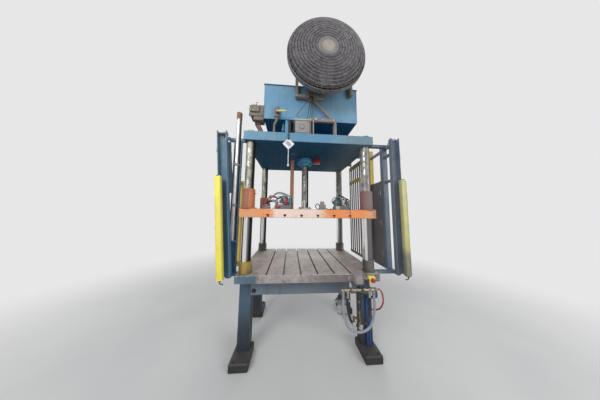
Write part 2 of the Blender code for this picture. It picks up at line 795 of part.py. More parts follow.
def make_drain_valve(press):
    """A ball valve on the tank's front, with a lever on its stem. The lever is a moving piece."""
    x = TANK_CENTRE_X - TANK_WIDTH / 2 + VALVE_INSET
    y = tank_front - GAP - VALVE_BODY_RADIUS * 1.5
    z = tank_bottom + VALVE_BODY_HEIGHT * 0.4
    body = cylinder("ball_valve", VALVE_BODY_RADIUS, VALVE_BODY_HEIGHT, (x, y, z), "brown_metal", press)
    stub_length = VALVE_BODY_RADIUS * 2.5
    stub_y = tank_front - GAP - stub_length / 2
    stub_z = z + VALVE_BODY_HEIGHT * 0.3
    stub = cylinder("valve_stub", VALVE_BODY_RADIUS * 0.6, stub_length, (x, stub_y, stub_z), "brown_metal", press,
                    axis="Y", sides=16)
    stem_front = y - VALVE_BODY_RADIUS - VALVE_STEM_LENGTH
    stem_length = VALVE_STEM_LENGTH + VALVE_BODY_RADIUS
    stem = cylinder("valve_stem", VALVE_STEM_RADIUS, stem_length, (x, stem_front + stem_length / 2, z),
                    "brown_metal", press, axis="Y", sides=12)
    weld(body, stub, stem)
    pivot = empty("lever_axis", (x, stem_front - GAP - LEVER_THICK / 2, z), press)
    lever = block("valve_lever", (LEVER_LENGTH, LEVER_THICK, LEVER_WIDTH),
                  (LEVER_LENGTH / 2 - LEVER_WIDTH / 2, 0, 0), "curtain_yellow", pivot, edge=LEVER_EDGE)
    weld(lever, cylinder("lever_eye", LEVER_WIDTH * 0.7, LEVER_THICK, (0, 0, 0), "curtain_yellow", pivot,
                         axis="Y", sides=16))


def make_motor_and_pump(press):
    """A foot-mounted electric motor with a gear pump on its left end, behind the cylinder."""
    z = crown_top + GAP + MOTOR_FOOT + MOTOR_RADIUS
    motor = cylinder("pump_motor", MOTOR_RADIUS, MOTOR_LENGTH, (MOTOR_X, MOTOR_Y, z), "box_grey", press, axis="X")
    foot_height = MOTOR_FOOT + MOTOR_RADIUS / 2
    foot_size = (MOTOR_LENGTH * 0.55, MOTOR_RADIUS * 1.8, foot_height)
    foot_place = (MOTOR_X, MOTOR_Y, crown_top + GAP + foot_height / 2)
    fan_cover = cylinder("motor_end", MOTOR_RADIUS * 0.85, MOTOR_LENGTH * 0.2,
                         (MOTOR_X + MOTOR_LENGTH * 0.55, MOTOR_Y, z), "box_grey", press, axis="X")
    box_size = (MOTOR_RADIUS, MOTOR_RADIUS, MOTOR_RADIUS * 0.7)
    terminal = block("motor_terminals", box_size, (MOTOR_X, MOTOR_Y, z + MOTOR_RADIUS), "box_grey", press)
    weld(motor, block("motor_foot", foot_size, foot_place, "box_grey", press), fan_cover, terminal)
    pump_x = MOTOR_X - MOTOR_LENGTH / 2 - GAP - PUMP_LENGTH / 2
    pump = cylinder("hydraulic_pump", PUMP_RADIUS, PUMP_LENGTH, (pump_x, MOTOR_Y, z), "box_grey", press, axis="X")
    port_height = PUMP_RADIUS * 1.4
    weld(pump, cylinder("pump_port", PIPE_RADIUS * 1.8, port_height, (pump_x, MOTOR_Y, z + port_height / 2),
                        "box_grey", press, sides=16))
    start = Vector((pump_x, MOTOR_Y, z + port_height + GAP))
    bend_top = barrel_top - PIPE_DROP
    reach = Vector((0, barrel_radius + PIPE_END_GAP, bend_top))
    bend = PIPE_BEND_RADIUS
    route = [start, start + Vector((0, 0, bend))]
    corner = Vector((pump_x, MOTOR_Y, bend_top))
    route += arc_points(corner, Vector((0, 0, -1)), Vector((-pump_x, reach.y - MOTOR_Y, 0)).normalized(), bend)
    turn = Vector((0, reach.y + PIPE_LEAD, bend_top))
    inward = (turn - corner).normalized()
    route += arc_points(turn, -inward, Vector((0, -1, 0)), bend)
    route.append(reach)
    tube("pressure_pipe", route, PIPE_RADIUS, "bare_steel", press)


def arc_points(corner, back, ahead, radius, count=6):
    """Points of a rounded corner: back and ahead are the unit directions of its two legs."""
    half = math.pi / 2 - back.angle(ahead) / 2
    setback = radius * math.tan(half)
    first = corner + back * setback
    last = corner + ahead * setback
    points = []
    for index in range(count + 1):
        t = index / count
        points.append(first * (1 - t) ** 2 + corner * 2 * t * (1 - t) + last * t ** 2)
    return points


def tube(name, points, radius, look, parent, resolution=2):
    """A round tube along a list of points, with closed ends."""
    curve = bpy.data.curves.new(name, "CURVE")
    curve.dimensions = "3D"
    curve.bevel_depth = radius
    curve.bevel_resolution = resolution
    curve.use_fill_caps = True
    spline = curve.splines.new("POLY")
    spline.points.add(len(points) - 1)
    for point, place in zip(spline.points, points):
        point.co = (*place, 1.0)
    return add_object(name, curve, look, (0, 0, 0), parent)


def make_ram(ram):
    """The platen with its bushings, the rod, the piston and what rides on the platen."""
    offset = Vector((0, 0, platen_bottom))
    size = (2 * platen_half_x, 2 * platen_half_y, PLATEN_THICK)
    platen = block("platen", size, (0, 0, PLATEN_THICK / 2), "platen_orange", ram, edge=PLATE_EDGE)
    past_edge = platen_half_y + SLOT_HEAD_WIDTH
    cut_tee_slots(platen, -past_edge, past_edge, 0.0, 1, ram)
    cut_column_bores(platen, COLUMN_RADIUS + PLATEN_COLUMN_CLEARANCE, PLATEN_THICK / 2, PLATEN_THICK * 2, ram)
    seat = PLATEN_THICK + GAP
    bushing = [
        (BUSHING_RADIUS - BUSHING_CHAMFER, seat + BUSHING_HEIGHT),
        (BUSHING_RADIUS, seat + BUSHING_HEIGHT - BUSHING_CHAMFER),
        (BUSHING_RADIUS, seat),
        (COLUMN_RADIUS + GAP, seat),
        (COLUMN_RADIUS + GAP, seat + BUSHING_HEIGHT),
    ]
    for name, x, y in corners(column_x, column_y):
        turned("bushing_" + name, bushing, (x, y, 0), "platen_orange", ram, ring=True)
    piston_seat = piston_bottom - offset.z
    rod_top = piston_seat - GAP
    spigot = ROD_RADIUS * 0.6
    piston_top = piston_seat + PISTON_HEIGHT
    rod = [
        (0, piston_top),
        (spigot, piston_top),
        (spigot, rod_top),
        (ROD_RADIUS - COLUMN_CHAMFER / 2, rod_top),
        (ROD_RADIUS, rod_top - COLUMN_CHAMFER / 2),
        (ROD_RADIUS, seat),
        (0, seat),
    ]
    turned("piston_rod", rod, (0, 0, 0), "chromed_steel", ram)
    head = BORE_RADIUS - GAP * 2
    groove = head - SEAL_GROOVE
    low_ring = piston_seat + PISTON_HEIGHT * 0.3
    high_ring = piston_seat + PISTON_HEIGHT * 0.7
    piston = [
        (head, piston_top), (head, high_ring), (groove, high_ring), (groove, low_ring), (head, low_ring),
        (head, piston_seat), (spigot + GAP, piston_seat), (spigot + GAP, piston_top),
    ]
    turned("piston", piston, (0, 0, 0), "bare_steel", ram, ring=True)
    flange = [
        (ROD_FLANGE_RADIUS - BUSHING_CHAMFER, seat + ROD_FLANGE_HEIGHT),
        (ROD_FLANGE_RADIUS, seat + ROD_FLANGE_HEIGHT - BUSHING_CHAMFER),
        (ROD_FLANGE_RADIUS, seat),
        (ROD_RADIUS + GAP, seat),
        (ROD_RADIUS + GAP, seat + ROD_FLANGE_HEIGHT),
    ]
    turned("rod_flange", flange, (0, 0, 0), "platen_orange", ram, ring=True)
    stop_centre = (STOP_ROD_X, STOP_ROD_Y, seat + STOP_ROD_LENGTH / 2)
    cylinder("stop_rod", STOP_ROD_RADIUS, STOP_ROD_LENGTH, stop_centre, "brown_metal", ram, sides=16)
    make_manifold("manifold_left", MANIFOLD_LEFT_X, 1, seat, ram)
    make_manifold("manifold_right", MANIFOLD_RIGHT_X, -1, seat, ram)


def make_manifold(name, x, hand, seat, ram):
    """A ported block with one valve, its coil and four upright fittings."""
    wide, deep, high = MANIFOLD_BASE
    base = block(name, MANIFOLD_BASE, (x, MANIFOLD_Y, seat + high / 2), "box_grey", ram, edge=PLATE_EDGE)
    valve_wide, valve_deep, valve_high = MANIFOLD_VALVE
    valve_x = x + hand * (wide - valve_wide) / 4
    valve_z = seat + high + valve_high / 2 - MANIFOLD_SINK
    valve = block(name + "_valve", MANIFOLD_VALVE, (valve_x, MANIFOLD_Y, valve_z), "box_grey", ram)
    coil = cylinder(name + "_coil", MANIFOLD_COIL_RADIUS, MANIFOLD_COIL_LENGTH, (valve_x, MANIFOLD_Y, valve_z),
                    "box_grey", ram, axis="X", sides=16)
    weld(base, valve, coil)
    for index, side in enumerate((-1, 1)):
        for depth in (-1, 1):
            place = (x + side * wide * 0.4, MANIFOLD_Y + depth * deep * 0.28,
                     seat + high + MANIFOLD_FITTING_HEIGHT / 2 - MANIFOLD_FITTING_SINK)
            weld(base, cylinder(f"{name}_fitting_{index}_{depth}", MANIFOLD_FITTING_RADIUS,
                                MANIFOLD_FITTING_HEIGHT, place, "box_grey", ram, sides=8))


def guard_arm(name, side, end_x, reach_x, middle, height, press):
    """A bar along X from the frame's end face out to a guard."""
    start = side * (end_x + GAP)
    length = abs(reach_x - start)
    centre = ((start + reach_x) / 2, arm_y, middle)
    return block(name, (length, ARM_SIZE, height), centre, "press_blue", press)


def make_left_guard(press):
    """A leaning front channel, an upright channel with a shelf for the tube, and the arms that hold them."""
    base_x = -crown_half_x - GUARD_LEFT_OFFSET
    lean = empty("left_guard_frame", (base_x, guard_y, guard_base), press, lean=-GUARD_LEFT_LEAN)
    outline = channel_outline(CHANNEL_WIDTH, CHANNEL_DEPTH, CHANNEL_WALL, -1)
    guard = extruded("guard_frame_left", outline, guard_length, (0, CHANNEL_DEPTH / 2, 0), "press_blue", lean,
                     centred=False)
    inner = channel_outline(LEFT_CHANNEL_WIDTH, LEFT_CHANNEL_DEPTH, CHANNEL_WALL, -1)
    inner_x = -crown_half_x - LEFT_CHANNEL_OFFSET
    inner_back = arm_y + ARM_SIZE / 2
    upright = extruded("left_upright", inner, arm_top - guard_base, (inner_x, inner_back, guard_base),
                       "press_blue", press, centred=False)
    tube_base = arm_top - ARM_SIZE / 2 - TUBE_BELOW_ARM - TUBE_LENGTH
    tube_y = inner_back - CHANNEL_WALL - GAP - TUBE_RADIUS
    shelf_depth = inner_back - (tube_y - TUBE_RADIUS)
    shelf = block("left_shelf", (LEFT_CHANNEL_WIDTH, shelf_depth, SHELF_THICK),
                  (inner_x, inner_back - shelf_depth / 2, tube_base - GAP - SHELF_THICK / 2), "press_blue", press)
    rail_x = -crown_half_x - SIDE_CURTAIN_LEFT_OFFSET
    reach = rail_x - TIE_SIZE / 2
    pieces = [upright, shelf]
    pieces.append(guard_arm("left_arm_top", -1, crown_half_x, reach, arm_top, ARM_SIZE, press))
    pieces.append(guard_arm("left_arm_low", -1, bolster_half_x, reach, arm_low, ARM_SIZE, press))
    shift = math.tan(GUARD_LEFT_LEAN)
    for label, height in (("top", arm_top), ("low", arm_low)):
        channel_x = base_x - (height - guard_base) * shift
        start = ((channel_x + inner_x) / 2, arm_y, height)
        end = (channel_x, guard_y + CHANNEL_DEPTH / 2 - CHANNEL_WALL / 2, height)
        pieces.append(bar("left_tie_" + label, start, end, TIE_SIZE, TIE_SIZE, "press_blue", press))
    for label, height in (("mid", mid_rail), ("low", arm_low)):
        length = side_curtain_front - (arm_y - ARM_SIZE / 2)
        centre = (rail_x, side_curtain_front - length / 2, height)
        pieces.append(block("left_rail_" + label, (TIE_SIZE, length, TIE_SIZE), centre, "press_blue", press))
    flange_x = inner_x - LEFT_CHANNEL_WIDTH / 2 + CHANNEL_WALL / 2
    pieces.append(block("left_cross", (flange_x - reach, TIE_SIZE, TIE_SIZE),
                        ((reach + flange_x) / 2, arm_y, mid_rail), "press_blue", press))
    weld(guard, *pieces)
    curtain_x = -(CHANNEL_WIDTH + CURTAIN_WIDTH) / 2 - GAP
    block("light_curtain_left", (CURTAIN_WIDTH, CURTAIN_DEPTH, CURTAIN_LENGTH),
          (curtain_x, 0, CURTAIN_LENGTH / 2), "curtain_yellow", lean, edge=CURTAIN_EDGE)
    side_base = bed_top - SIDE_CURTAIN_LEFT_DROP
    block("side_curtain_left", (CURTAIN_WIDTH, CURTAIN_DEPTH, SIDE_CURTAIN_LENGTH),
          (rail_x, SIDE_CURTAIN_Y, side_base + SIDE_CURTAIN_LENGTH / 2), "curtain_yellow", press, edge=CURTAIN_EDGE)
    cylinder("guard_tube", TUBE_RADIUS, TUBE_LENGTH, (inner_x, tube_y, tube_base + TUBE_LENGTH / 2),
             "chromed_steel", press)


def make_right_guard(press):
    """An upright front channel, a square inner post, arms, rails and a folded sheet panel."""
    guard_x = crown_half_x + GUARD_OFFSET
    outline = channel_outline(CHANNEL_WIDTH, CHANNEL_DEPTH, CHANNEL_WALL, -1)
    guard = extruded("guard_frame_right", outline, guard_length, (guard_x, guard_y + CHANNEL_DEPTH / 2, guard_base),
                     "press_blue", press, centred=False)
    post_length = guard_length - ARM_SIZE / 2
    post = block("right_post", (INNER_POST_SIZE, INNER_POST_SIZE, post_length),
                 (guard_x, post_y, guard_base + post_length / 2), "press_blue", press)
    pieces = [post]
    pieces.append(guard_arm("right_arm_top", 1, crown_half_x, guard_x, arm_top, ARM_SIZE, press))
    pieces.append(guard_arm("right_arm_low", 1, bolster_half_x, guard_x, arm_low, ARM_SIZE, press))
    web = guard_y + CHANNEL_DEPTH / 2 - CHANNEL_WALL / 2
    reaches = (
        ("top", arm_top, side_curtain_front), ("mid", mid_rail, side_curtain_front),
        ("low", arm_low, side_curtain_front), ("upper", arm_top - UPPER_RAIL_DROP, post_y),
    )
    for label, height, end in reaches:
        length = end - web
        centre = (guard_x, web + length / 2, height)
        pieces.append(block("right_rail_" + label, (TIE_SIZE, length, TIE_SIZE), centre, "press_blue", press))
    weld(guard, *pieces)
    curtain_x = guard_x + (CHANNEL_WIDTH + CURTAIN_WIDTH) / 2 + GAP
    block("light_curtain_right", (CURTAIN_WIDTH, CURTAIN_DEPTH, CURTAIN_LENGTH),
          (curtain_x, guard_y, guard_base + CURTAIN_LENGTH / 2), "curtain_yellow", press, edge=CURTAIN_EDGE)
    side_base = bed_top + SIDE_CURTAIN_RIGHT_RISE
    block("side_curtain_right", (CURTAIN_WIDTH, CURTAIN_DEPTH, SIDE_CURTAIN_LENGTH),
          (guard_x, SIDE_CURTAIN_Y, side_base + SIDE_CURTAIN_LENGTH / 2), "curtain_yellow", press, edge=CURTAIN_EDGE)
    face = guard_x - TIE_SIZE / 2 - GAP
    start = post_y + INNER_POST_SIZE / 2 + GAP
    end = side_curtain_front
    lip = PANEL_LIP
    thick = PANEL_THICK
    folded = [
        (face, start), (face, end), (face - lip, end), (face - lip, end - thick),
        (face - thick, end - thick), (face - thick, start + thick), (face - lip, start + thick), (face - lip, start),
    ]
    extruded("guard_panel", folded, PANEL_LENGTH, (0, 0, bed_top - PANEL_BELOW_BED), "guard_grey", press,
             centred=False)


def make_slat_guard(press):
    """A slatted screen hung from the crown's right end, between the two right columns."""
    x = crown_half_x + SLAT_GUARD_OFFSET
    width = (SLAT_COUNT - 1) * SLAT_PITCH + SLAT_WIDTH
    top = crown_bottom - SLAT_GUARD_BELOW_CROWN
    base = top - SLAT_GUARD_LENGTH
    rail_size = (SLAT_RAIL_THICK, width, SLAT_RAIL_HEIGHT)
    screen = block("slat_guard", rail_size, (x, SLAT_GUARD_CENTRE_Y, top - SLAT_RAIL_HEIGHT / 2), "guard_grey", press)
    foot = block("slat_foot", (SLAT_RAIL_THICK, width, SLAT_WIDTH),
                 (x, SLAT_GUARD_CENTRE_Y, base + SLAT_WIDTH / 2), "guard_grey", press)
    pieces = [foot]
    for index in range(SLAT_COUNT):
        y = SLAT_GUARD_CENTRE_Y + (index - (SLAT_COUNT - 1) / 2) * SLAT_PITCH
        slat_length = SLAT_GUARD_LENGTH - SLAT_WIDTH
        pieces.append(block(f"slat_{index}", (SLAT_THICK, SLAT_WIDTH, slat_length),
                            (x, y, base + SLAT_WIDTH / 2 + slat_length / 2), "guard_grey", press))
    hanger_bottom = top - SLAT_RAIL_HEIGHT / 2
    hanger_top = crown_bottom + SLAT_HANGER_TOP
    face = crown_half_x + GAP
    hanger = [
        (x + SLAT_RAIL_THICK / 2 + SLAT_THICK, hanger_bottom), (x + SLAT_RAIL_THICK / 2 - GAP, hanger_bottom),
        (x + SLAT_RAIL_THICK / 2 - GAP, crown_bottom + SLAT_THICK), (face, crown_bottom + SLAT_THICK),
        (face, hanger_top), (x + SLAT_RAIL_THICK / 2 + SLAT_THICK, hanger_top),
    ]
    for index in (-1, 1):
        y = SLAT_GUARD_CENTRE_Y + index * width * 0.4
        pieces.append(extruded(f"slat_hanger_{index}", hanger, SLAT_WIDTH, (0, y, 0), "guard_grey", press, axis="Y"))
    weld(screen, *pieces)


def make_fan_bracket(press):
    """The fan's support: a stand on the crown, a strut, a clamp block, a bracket and a forked yoke."""
    face = tank_front - GAP
    back = face - COVER_OVERHANG
    y = back - BRACKET_DEPTH / 2
    bar_z = tank_top - BRACKET_BELOW_TANK_TOP
    right = FAN_X + BRACKET_BAR / 2
    length = right - BRACKET_LEFT_X + BRACKET_BAR / 2
    frame = block("fan_bracket", (length, BRACKET_DEPTH, BRACKET_BAR),
                  (right - length / 2, y, bar_z), "fan_grey", press)
    rise = block("bracket_rise", (BRACKET_BAR, BRACKET_DEPTH, BRACKET_RISE),
                 (BRACKET_LEFT_X, y, bar_z - BRACKET_BAR / 2 + BRACKET_RISE / 2), "fan_grey", press)
    clamp = block("bracket_clamp", BLOCK_SIZE, (BLOCK_X, face - BLOCK_SIZE[1] / 2, bar_z), "brown_metal", press)
    half_yoke = FAN_MOTOR_RADIUS + YOKE_CLEARANCE
    yoke_floor = fan_pivot.z - YOKE_BELOW
    mast_top = yoke_floor + YOKE_THICK / 2
    mast = block("fan_mast", (BRACKET_BAR, BRACKET_DEPTH, mast_top - bar_z),
                 (FAN_X, y, (mast_top + bar_z) / 2), "fan_grey", press)
    outer = half_yoke + YOKE_THICK
    floor = -YOKE_BELOW
    crest = FAN_PIN_RADIUS * 2
    fork = [
        (-outer, crest), (-outer, floor), (outer, floor), (outer, crest), (half_yoke, crest),
        (half_yoke, floor + YOKE_THICK), (-half_yoke, floor + YOKE_THICK), (-half_yoke, crest),
    ]
    yoke_depth = (y + BRACKET_DEPTH / 2) - (fan_pivot.y - YOKE_WIDTH / 2)
    yoke_y = y + BRACKET_DEPTH / 2 - yoke_depth / 2
    yoke = extruded("fan_yoke", fork, yoke_depth, (FAN_X, yoke_y, fan_pivot.z), "fan_grey", press, axis="Y")
    stand_y = back - STAND_POST / 2
    bar_bottom = crown_top + STAND_HEIGHT - STAND_BAR_HEIGHT
    middle = (STAND_LEFT_X + STAND_RIGHT_X) / 2
    bar_length = STAND_RIGHT_X - STAND_LEFT_X + STAND_POST
    cross = block("stand_bar", (bar_length, STAND_POST, STAND_BAR_HEIGHT),
                  (middle, stand_y, bar_bottom + STAND_BAR_HEIGHT / 2), "brown_metal", press)
    pieces = [rise, clamp, mast, yoke, cross]
    foot = crown_top + GAP
    post_height = bar_bottom + STAND_BAR_HEIGHT / 2 - foot
    for label, x in (("left", STAND_LEFT_X), ("right", STAND_RIGHT_X)):
        pieces.append(block("stand_post_" + label, (STAND_POST, STAND_POST, post_height),
                            (x, stand_y, foot + post_height / 2), "fan_grey", press))
    pieces.append(round_bar("fan_strut", (BLOCK_X, y, bar_z),
                            (STAND_RIGHT_X - STAND_POST, stand_y, bar_bottom + STAND_BAR_HEIGHT / 2),
                            STRUT_RADIUS, "fan_grey", press, sides=12))
    weld(frame, *pieces)
    pin_hole = cylinder("yoke_hole", FAN_PIN_RADIUS + GAP, outer * 3, tuple(fan_pivot), "fan_grey", press, axis="X")
    cut(frame, pin_hole)


def make_fan_head(head):
    """The fan's motor on two pivot pins, and its domed wire guard."""
    middle = FAN_MOTOR_LENGTH / 2 - FAN_MOTOR_OFFSET
    motor = cylinder("fan_motor", FAN_MOTOR_RADIUS, FAN_MOTOR_LENGTH, (0, middle, 0), "fan_grey", head, axis="Y")
    outer = FAN_MOTOR_RADIUS + YOKE_CLEARANCE + YOKE_THICK
    pins = cylinder("fan_pins", FAN_PIN_RADIUS, 2 * outer, (0, 0, 0), "fan_grey", head, axis="X")
    guard_rear = FAN_REAR_DOME - FAN_RIM_OFFSET
    mount_y = guard_rear + FAN_WIRE / 2 + GAP + FAN_MOUNT_THICK / 2
    mount = cylinder("fan_mount", FAN_BADGE_RADIUS + FAN_WIRE, FAN_MOUNT_THICK, (0, mount_y, 0), "fan_grey", head,
                     axis="Y")
    root = HUB_LENGTH / 4 - FAN_MOTOR_OFFSET
    shaft_length = root + HUB_OFFSET
    shaft = cylinder("fan_shaft", SHAFT_RADIUS, shaft_length, (0, root - shaft_length / 2, 0), "fan_grey", head,
                     axis="Y", sides=16)
    weld(motor, pins, mount, shaft)
    make_fan_guard(head)


def dome_ring(fraction, depth):
    """Radius and depth of a guard ring, from 0 at the badge to 1 at the rim, on a rounded dome."""
    radius = FAN_BADGE_RADIUS + (FAN_RADIUS - FAN_BADGE_RADIUS) * math.sin(fraction * math.pi / 2) ** 0.9
    across = (radius - FAN_BADGE_RADIUS) / (FAN_RADIUS - FAN_BADGE_RADIUS)
    return radius, depth * math.sqrt(max(0.0, 1 - across ** 2.2))


def make_fan_guard(head):
    """Front and rear domes of rings and spokes as one wire cage, with the round badge plate in front."""
    rim = -FAN_RIM_OFFSET
    front = [dome_ring(index / FAN_RINGS, FAN_FRONT_DOME) for index in range(FAN_RINGS + 1)]
    rear = [dome_ring(index / FAN_RINGS, FAN_REAR_DOME) for index in range(FAN_RINGS)]
    rings = [(radius, -depth) for radius, depth in front] + [(radius, depth) for radius, depth in reversed(rear)]
    bm = bmesh.new()
    verts = [bm.verts.new((radius, 0.0, depth)) for radius, depth in rings]
    for low, high in zip(verts, verts[1:]):
        bm.edges.new((low, high))
    mesh = bpy.data.meshes.new("fan_guard")
    bm.to_mesh(mesh)
    bm.free()
    guard = add_object("fan_guard", mesh, "fan_grey", (0, rim, 0), head)
    guard.rotation_euler.x = -math.pi / 2
    turn = guard.modifiers.new("turn", "SCREW")
    turn.axis = "Z"
    turn.steps = FAN_SPOKES
    turn.render_steps = FAN_SPOKES
    turn.use_merge_vertices = True
    turn.merge_threshold = 0.0001
    wires = guard.modifiers.new("wires", "WIREFRAME")
    wires.thickness = FAN_WIRE
    wires.use_boundary = True
    wires.use_replace = True
    wires.use_even_offset = False
    wires.use_relative_offset = False
    badge = cylinder("fan_badge", FAN_BADGE_RADIUS + FAN_WIRE / 4, BADGE_THICK, (0, rim - FAN_FRONT_DOME, 0),
                     "badge_beige", head, axis="Y", sides=FAN_SPOKES * 2)
    weld(guard, badge)


def make_fan_blades(hub):
    """A hub with twisted sheet blades, lofted from root to tip."""
    centre = cylinder("fan_blades", HUB_RADIUS, HUB_LENGTH, (0, 0, 0), "fan_grey", hub, axis="Y")
    for number in range(BLADE_COUNT):
        turn = 2 * math.pi * number / BLADE_COUNT
        bm = bmesh.new()
        grid = []
        for row in range(BLADE_ROWS + 1):
            t = row / BLADE_ROWS
            radius = HUB_RADIUS * 0.7 + (BLADE_RADIUS - HUB_RADIUS * 0.7) * t
            pitch = BLADE_ROOT_ANGLE + (BLADE_TIP_ANGLE - BLADE_ROOT_ANGLE) * t
            chord = BLADE_CHORD * (0.55 + 0.45 * math.sin(math.pi * min(1.0, 0.25 + 0.6 * t)))
            line = []
            for side in (-1, 0, 1):
                across = side * chord / 2
                bow = -BLADE_BOW * (1 - abs(side))
                line.append(bm.verts.new((
                    across * math.cos(pitch), across * math.sin(pitch) + bow, radius
                )))
            grid.append(line)
        for low, high in zip(grid, grid[1:]):
            for left in (0, 1):
                bm.faces.new((low[left], low[left + 1], high[left + 1], high[left]))
        blade = from_bmesh(f"blade_{number}", bm, "fan_grey", (0, 0, 0), hub)
        blade.rotation_euler.y = turn
        solid = blade.modifiers.new("sheet", "SOLIDIFY")
        solid.thickness = BLADE_THICK
        solid.offset = 0.0
        weld(centre, blade)
    bore_length = HUB_LENGTH * 0.8
    bore = cylinder("hub_bore", SHAFT_RADIUS + GAP, bore_length, (0, HUB_LENGTH / 2 - bore_length / 2 + GAP, 0),
                    "fan_grey", hub, axis="Y", sides=16)
    cut(centre, bore)


def make_sign(press):
    """A blank diamond plate on a strap on the crown's face, with a pull rod hanging below it."""
    back = -crown_half_y - GAP
    strap_top = crown_top - CROWN_THICK * 0.1
    y = back - SIGN_THICK / 2
    strap = block("sign_plate", (STRAP_WIDTH, SIGN_THICK, STRAP_LENGTH),
                  (SIGN_X, y, strap_top - STRAP_LENGTH / 2), "sign_white", press)
    centre_z = crown_bottom - SIGN_DROP
    plate_y = back - SIGN_THICK * 1.4
    plate = block("sign_diamond", (SIGN_SIDE, SIGN_THICK, SIGN_SIDE), (SIGN_X, plate_y, centre_z), "sign_white", press)
    plate.rotation_euler.y = math.pi / 4
    rod_top = centre_z - SIGN_SIDE * 0.6
    rod = cylinder("pull_rod", PULL_ROD_RADIUS, PULL_ROD_LENGTH,
                   (SIGN_X, plate_y, rod_top - PULL_ROD_LENGTH / 2), "sign_white", press, sides=8)
    bm = bmesh.new()
    bmesh.ops.create_uvsphere(bm, u_segments=12, v_segments=8, radius=PULL_BALL_RADIUS)
    ball = from_bmesh("pull_ball", bm, "sign_white", (SIGN_X, plate_y, rod_top - PULL_ROD_LENGTH), press)
    weld(strap, plate, rod, ball)


def make_junction_box(press):
    wide, deep, high = JUNCTION_SIZE
    y = -crown_half_y + JUNCTION_FRONT_MARGIN + deep / 2
    z = crown_top + GAP + high / 2
    body = block("junction_box", JUNCTION_SIZE, (JUNCTION_X, y, z), "box_grey", press, edge=BOX_EDGE)
    knob = cylinder("junction_knob", wide * 0.16, wide * 0.12, (JUNCTION_X, y - deep / 2, z), "box_grey", press,
                    axis="Y", sides=16)
    weld(body, knob)


def make_controls(press):
    """A mounting plate on the bolster's front with a grey box and a stop station, and the stop button."""
    front = -bolster_half_y - GAP
    wide, thick, high = CONTROL_PLATE
    plate_z = bed_top - SLOT_NECK_DEPTH - SLOT_HEAD_HEIGHT - CONTROL_PLATE_DROP - high / 2
    station = block("control_station", CONTROL_PLATE, (control_x, front - thick / 2, plate_z), "box_grey", press)
    box_wide, box_deep, box_high = CONTROL_BOX_SIZE
    box_z = bed_top + CONTROL_RISE - box_high / 2
    box_y = front - thick / 2 - box_deep / 2
    weld(station, block("control_box", CONTROL_BOX_SIZE, (control_x + CONTROL_BOX_SHIFT, box_y, box_z), "box_grey",
                        press, edge=BOX_EDGE))
    stop_wide, stop_deep, stop_high = STOP_BOX_SIZE
    stop_x = control_x + STOP_BOX_SHIFT
    stop_y = front - thick / 2 - stop_deep / 2
    stop_z = bed_top + STOP_BOX_RISE - stop_high / 2
    weld(station, block("stop_box", STOP_BOX_SIZE, (stop_x, stop_y, stop_z), "curtain_yellow", press, edge=BOX_EDGE))
    face = stop_y - stop_deep / 2
    recess = BUTTON_STEM_LENGTH
    hole = cylinder("stop_hole", BUTTON_STEM_RADIUS + GAP, recess * 2, (stop_x, face, stop_z), "curtain_yellow", press,
                    axis="Y", sides=16)
    cut(station, hole)
    button = empty("stop_axis", (stop_x, face, stop_z), press)
    head_back = BUTTON_TRAVEL + 2 * GAP
    cap = cylinder("stop_button", BUTTON_RADIUS, BUTTON_HEAD, (0, -head_back - BUTTON_HEAD / 2, 0), "stop_red",
                   button, axis="Y")
    stem_length = head_back + BUTTON_STEM_LENGTH - BUTTON_TRAVEL - 4 * GAP
    weld(cap, cylinder("stop_stem", BUTTON_STEM_RADIUS, stem_length + BUTTON_HEAD / 2,
                       (0, (stem_length - head_back * 2 - BUTTON_HEAD / 2) / 2, 0), "stop_red", button, axis="Y",
                       sides=16))


def make_air_service(press):
    """An air pipe with tees under the controls, its two hanging hoses, and the filter unit on the rail."""
    middle = (air_pipe_left + air_pipe_right) / 2
    pipe = cylinder("air_pipe", AIR_PIPE_RADIUS, AIR_PIPE_LENGTH, (middle, air_pipe_y, air_pipe_z), "box_grey", press,
                    axis="X", sides=16)
    outer_left = air_pipe_left + AIR_OUTLET_INSET
    inner_left = outer_left + HOSE_GAP_X
    inner_right = inner_left + HOSE_SPAN
    outer_right = inner_right + HOSE_GAP_X
    for index, x in enumerate((outer_left, inner_left, inner_right, outer_right)):
        weld(pipe, cylinder(f"air_outlet_{index}", AIR_OUTLET_RADIUS, AIR_OUTLET_DROP,
                            (x, air_pipe_y, air_pipe_z - AIR_OUTLET_DROP / 2), "box_grey", press, sides=12))
    front = -bolster_half_y - GAP
    hanger_top = bolster_bottom + AIR_HANGER_RISE
    for index, x in enumerate((inner_left + HOSE_GAP_X, air_pipe_right - HOSE_GAP_X)):
        hanger_y = (front + air_pipe_y) / 2
        outline = [
            (front, hanger_top), (front, air_pipe_z - AIR_PIPE_HANGER / 2),
            (air_pipe_y, air_pipe_z - AIR_PIPE_HANGER / 2), (air_pipe_y, air_pipe_z + AIR_PIPE_HANGER / 2),
            (hanger_y, air_pipe_z + AIR_PIPE_HANGER / 2), (front - AIR_PIPE_HANGER / 2, hanger_top),
        ]
        weld(pipe, extruded(f"air_hanger_{index}", outline, AIR_PIPE_HANGER, (x, 0, 0), "box_grey", press, axis="X"))
    hose_top = air_pipe_z - AIR_OUTLET_DROP - GAP
    make_hose("hose_grey", outer_left, outer_right, hose_top, HOSE_OUTER_DROP, "hose_grey", press)
    make_hose("hose_black", inner_left, inner_right, hose_top, HOSE_INNER_DROP, "hose_black", press)
    make_air_unit(press)


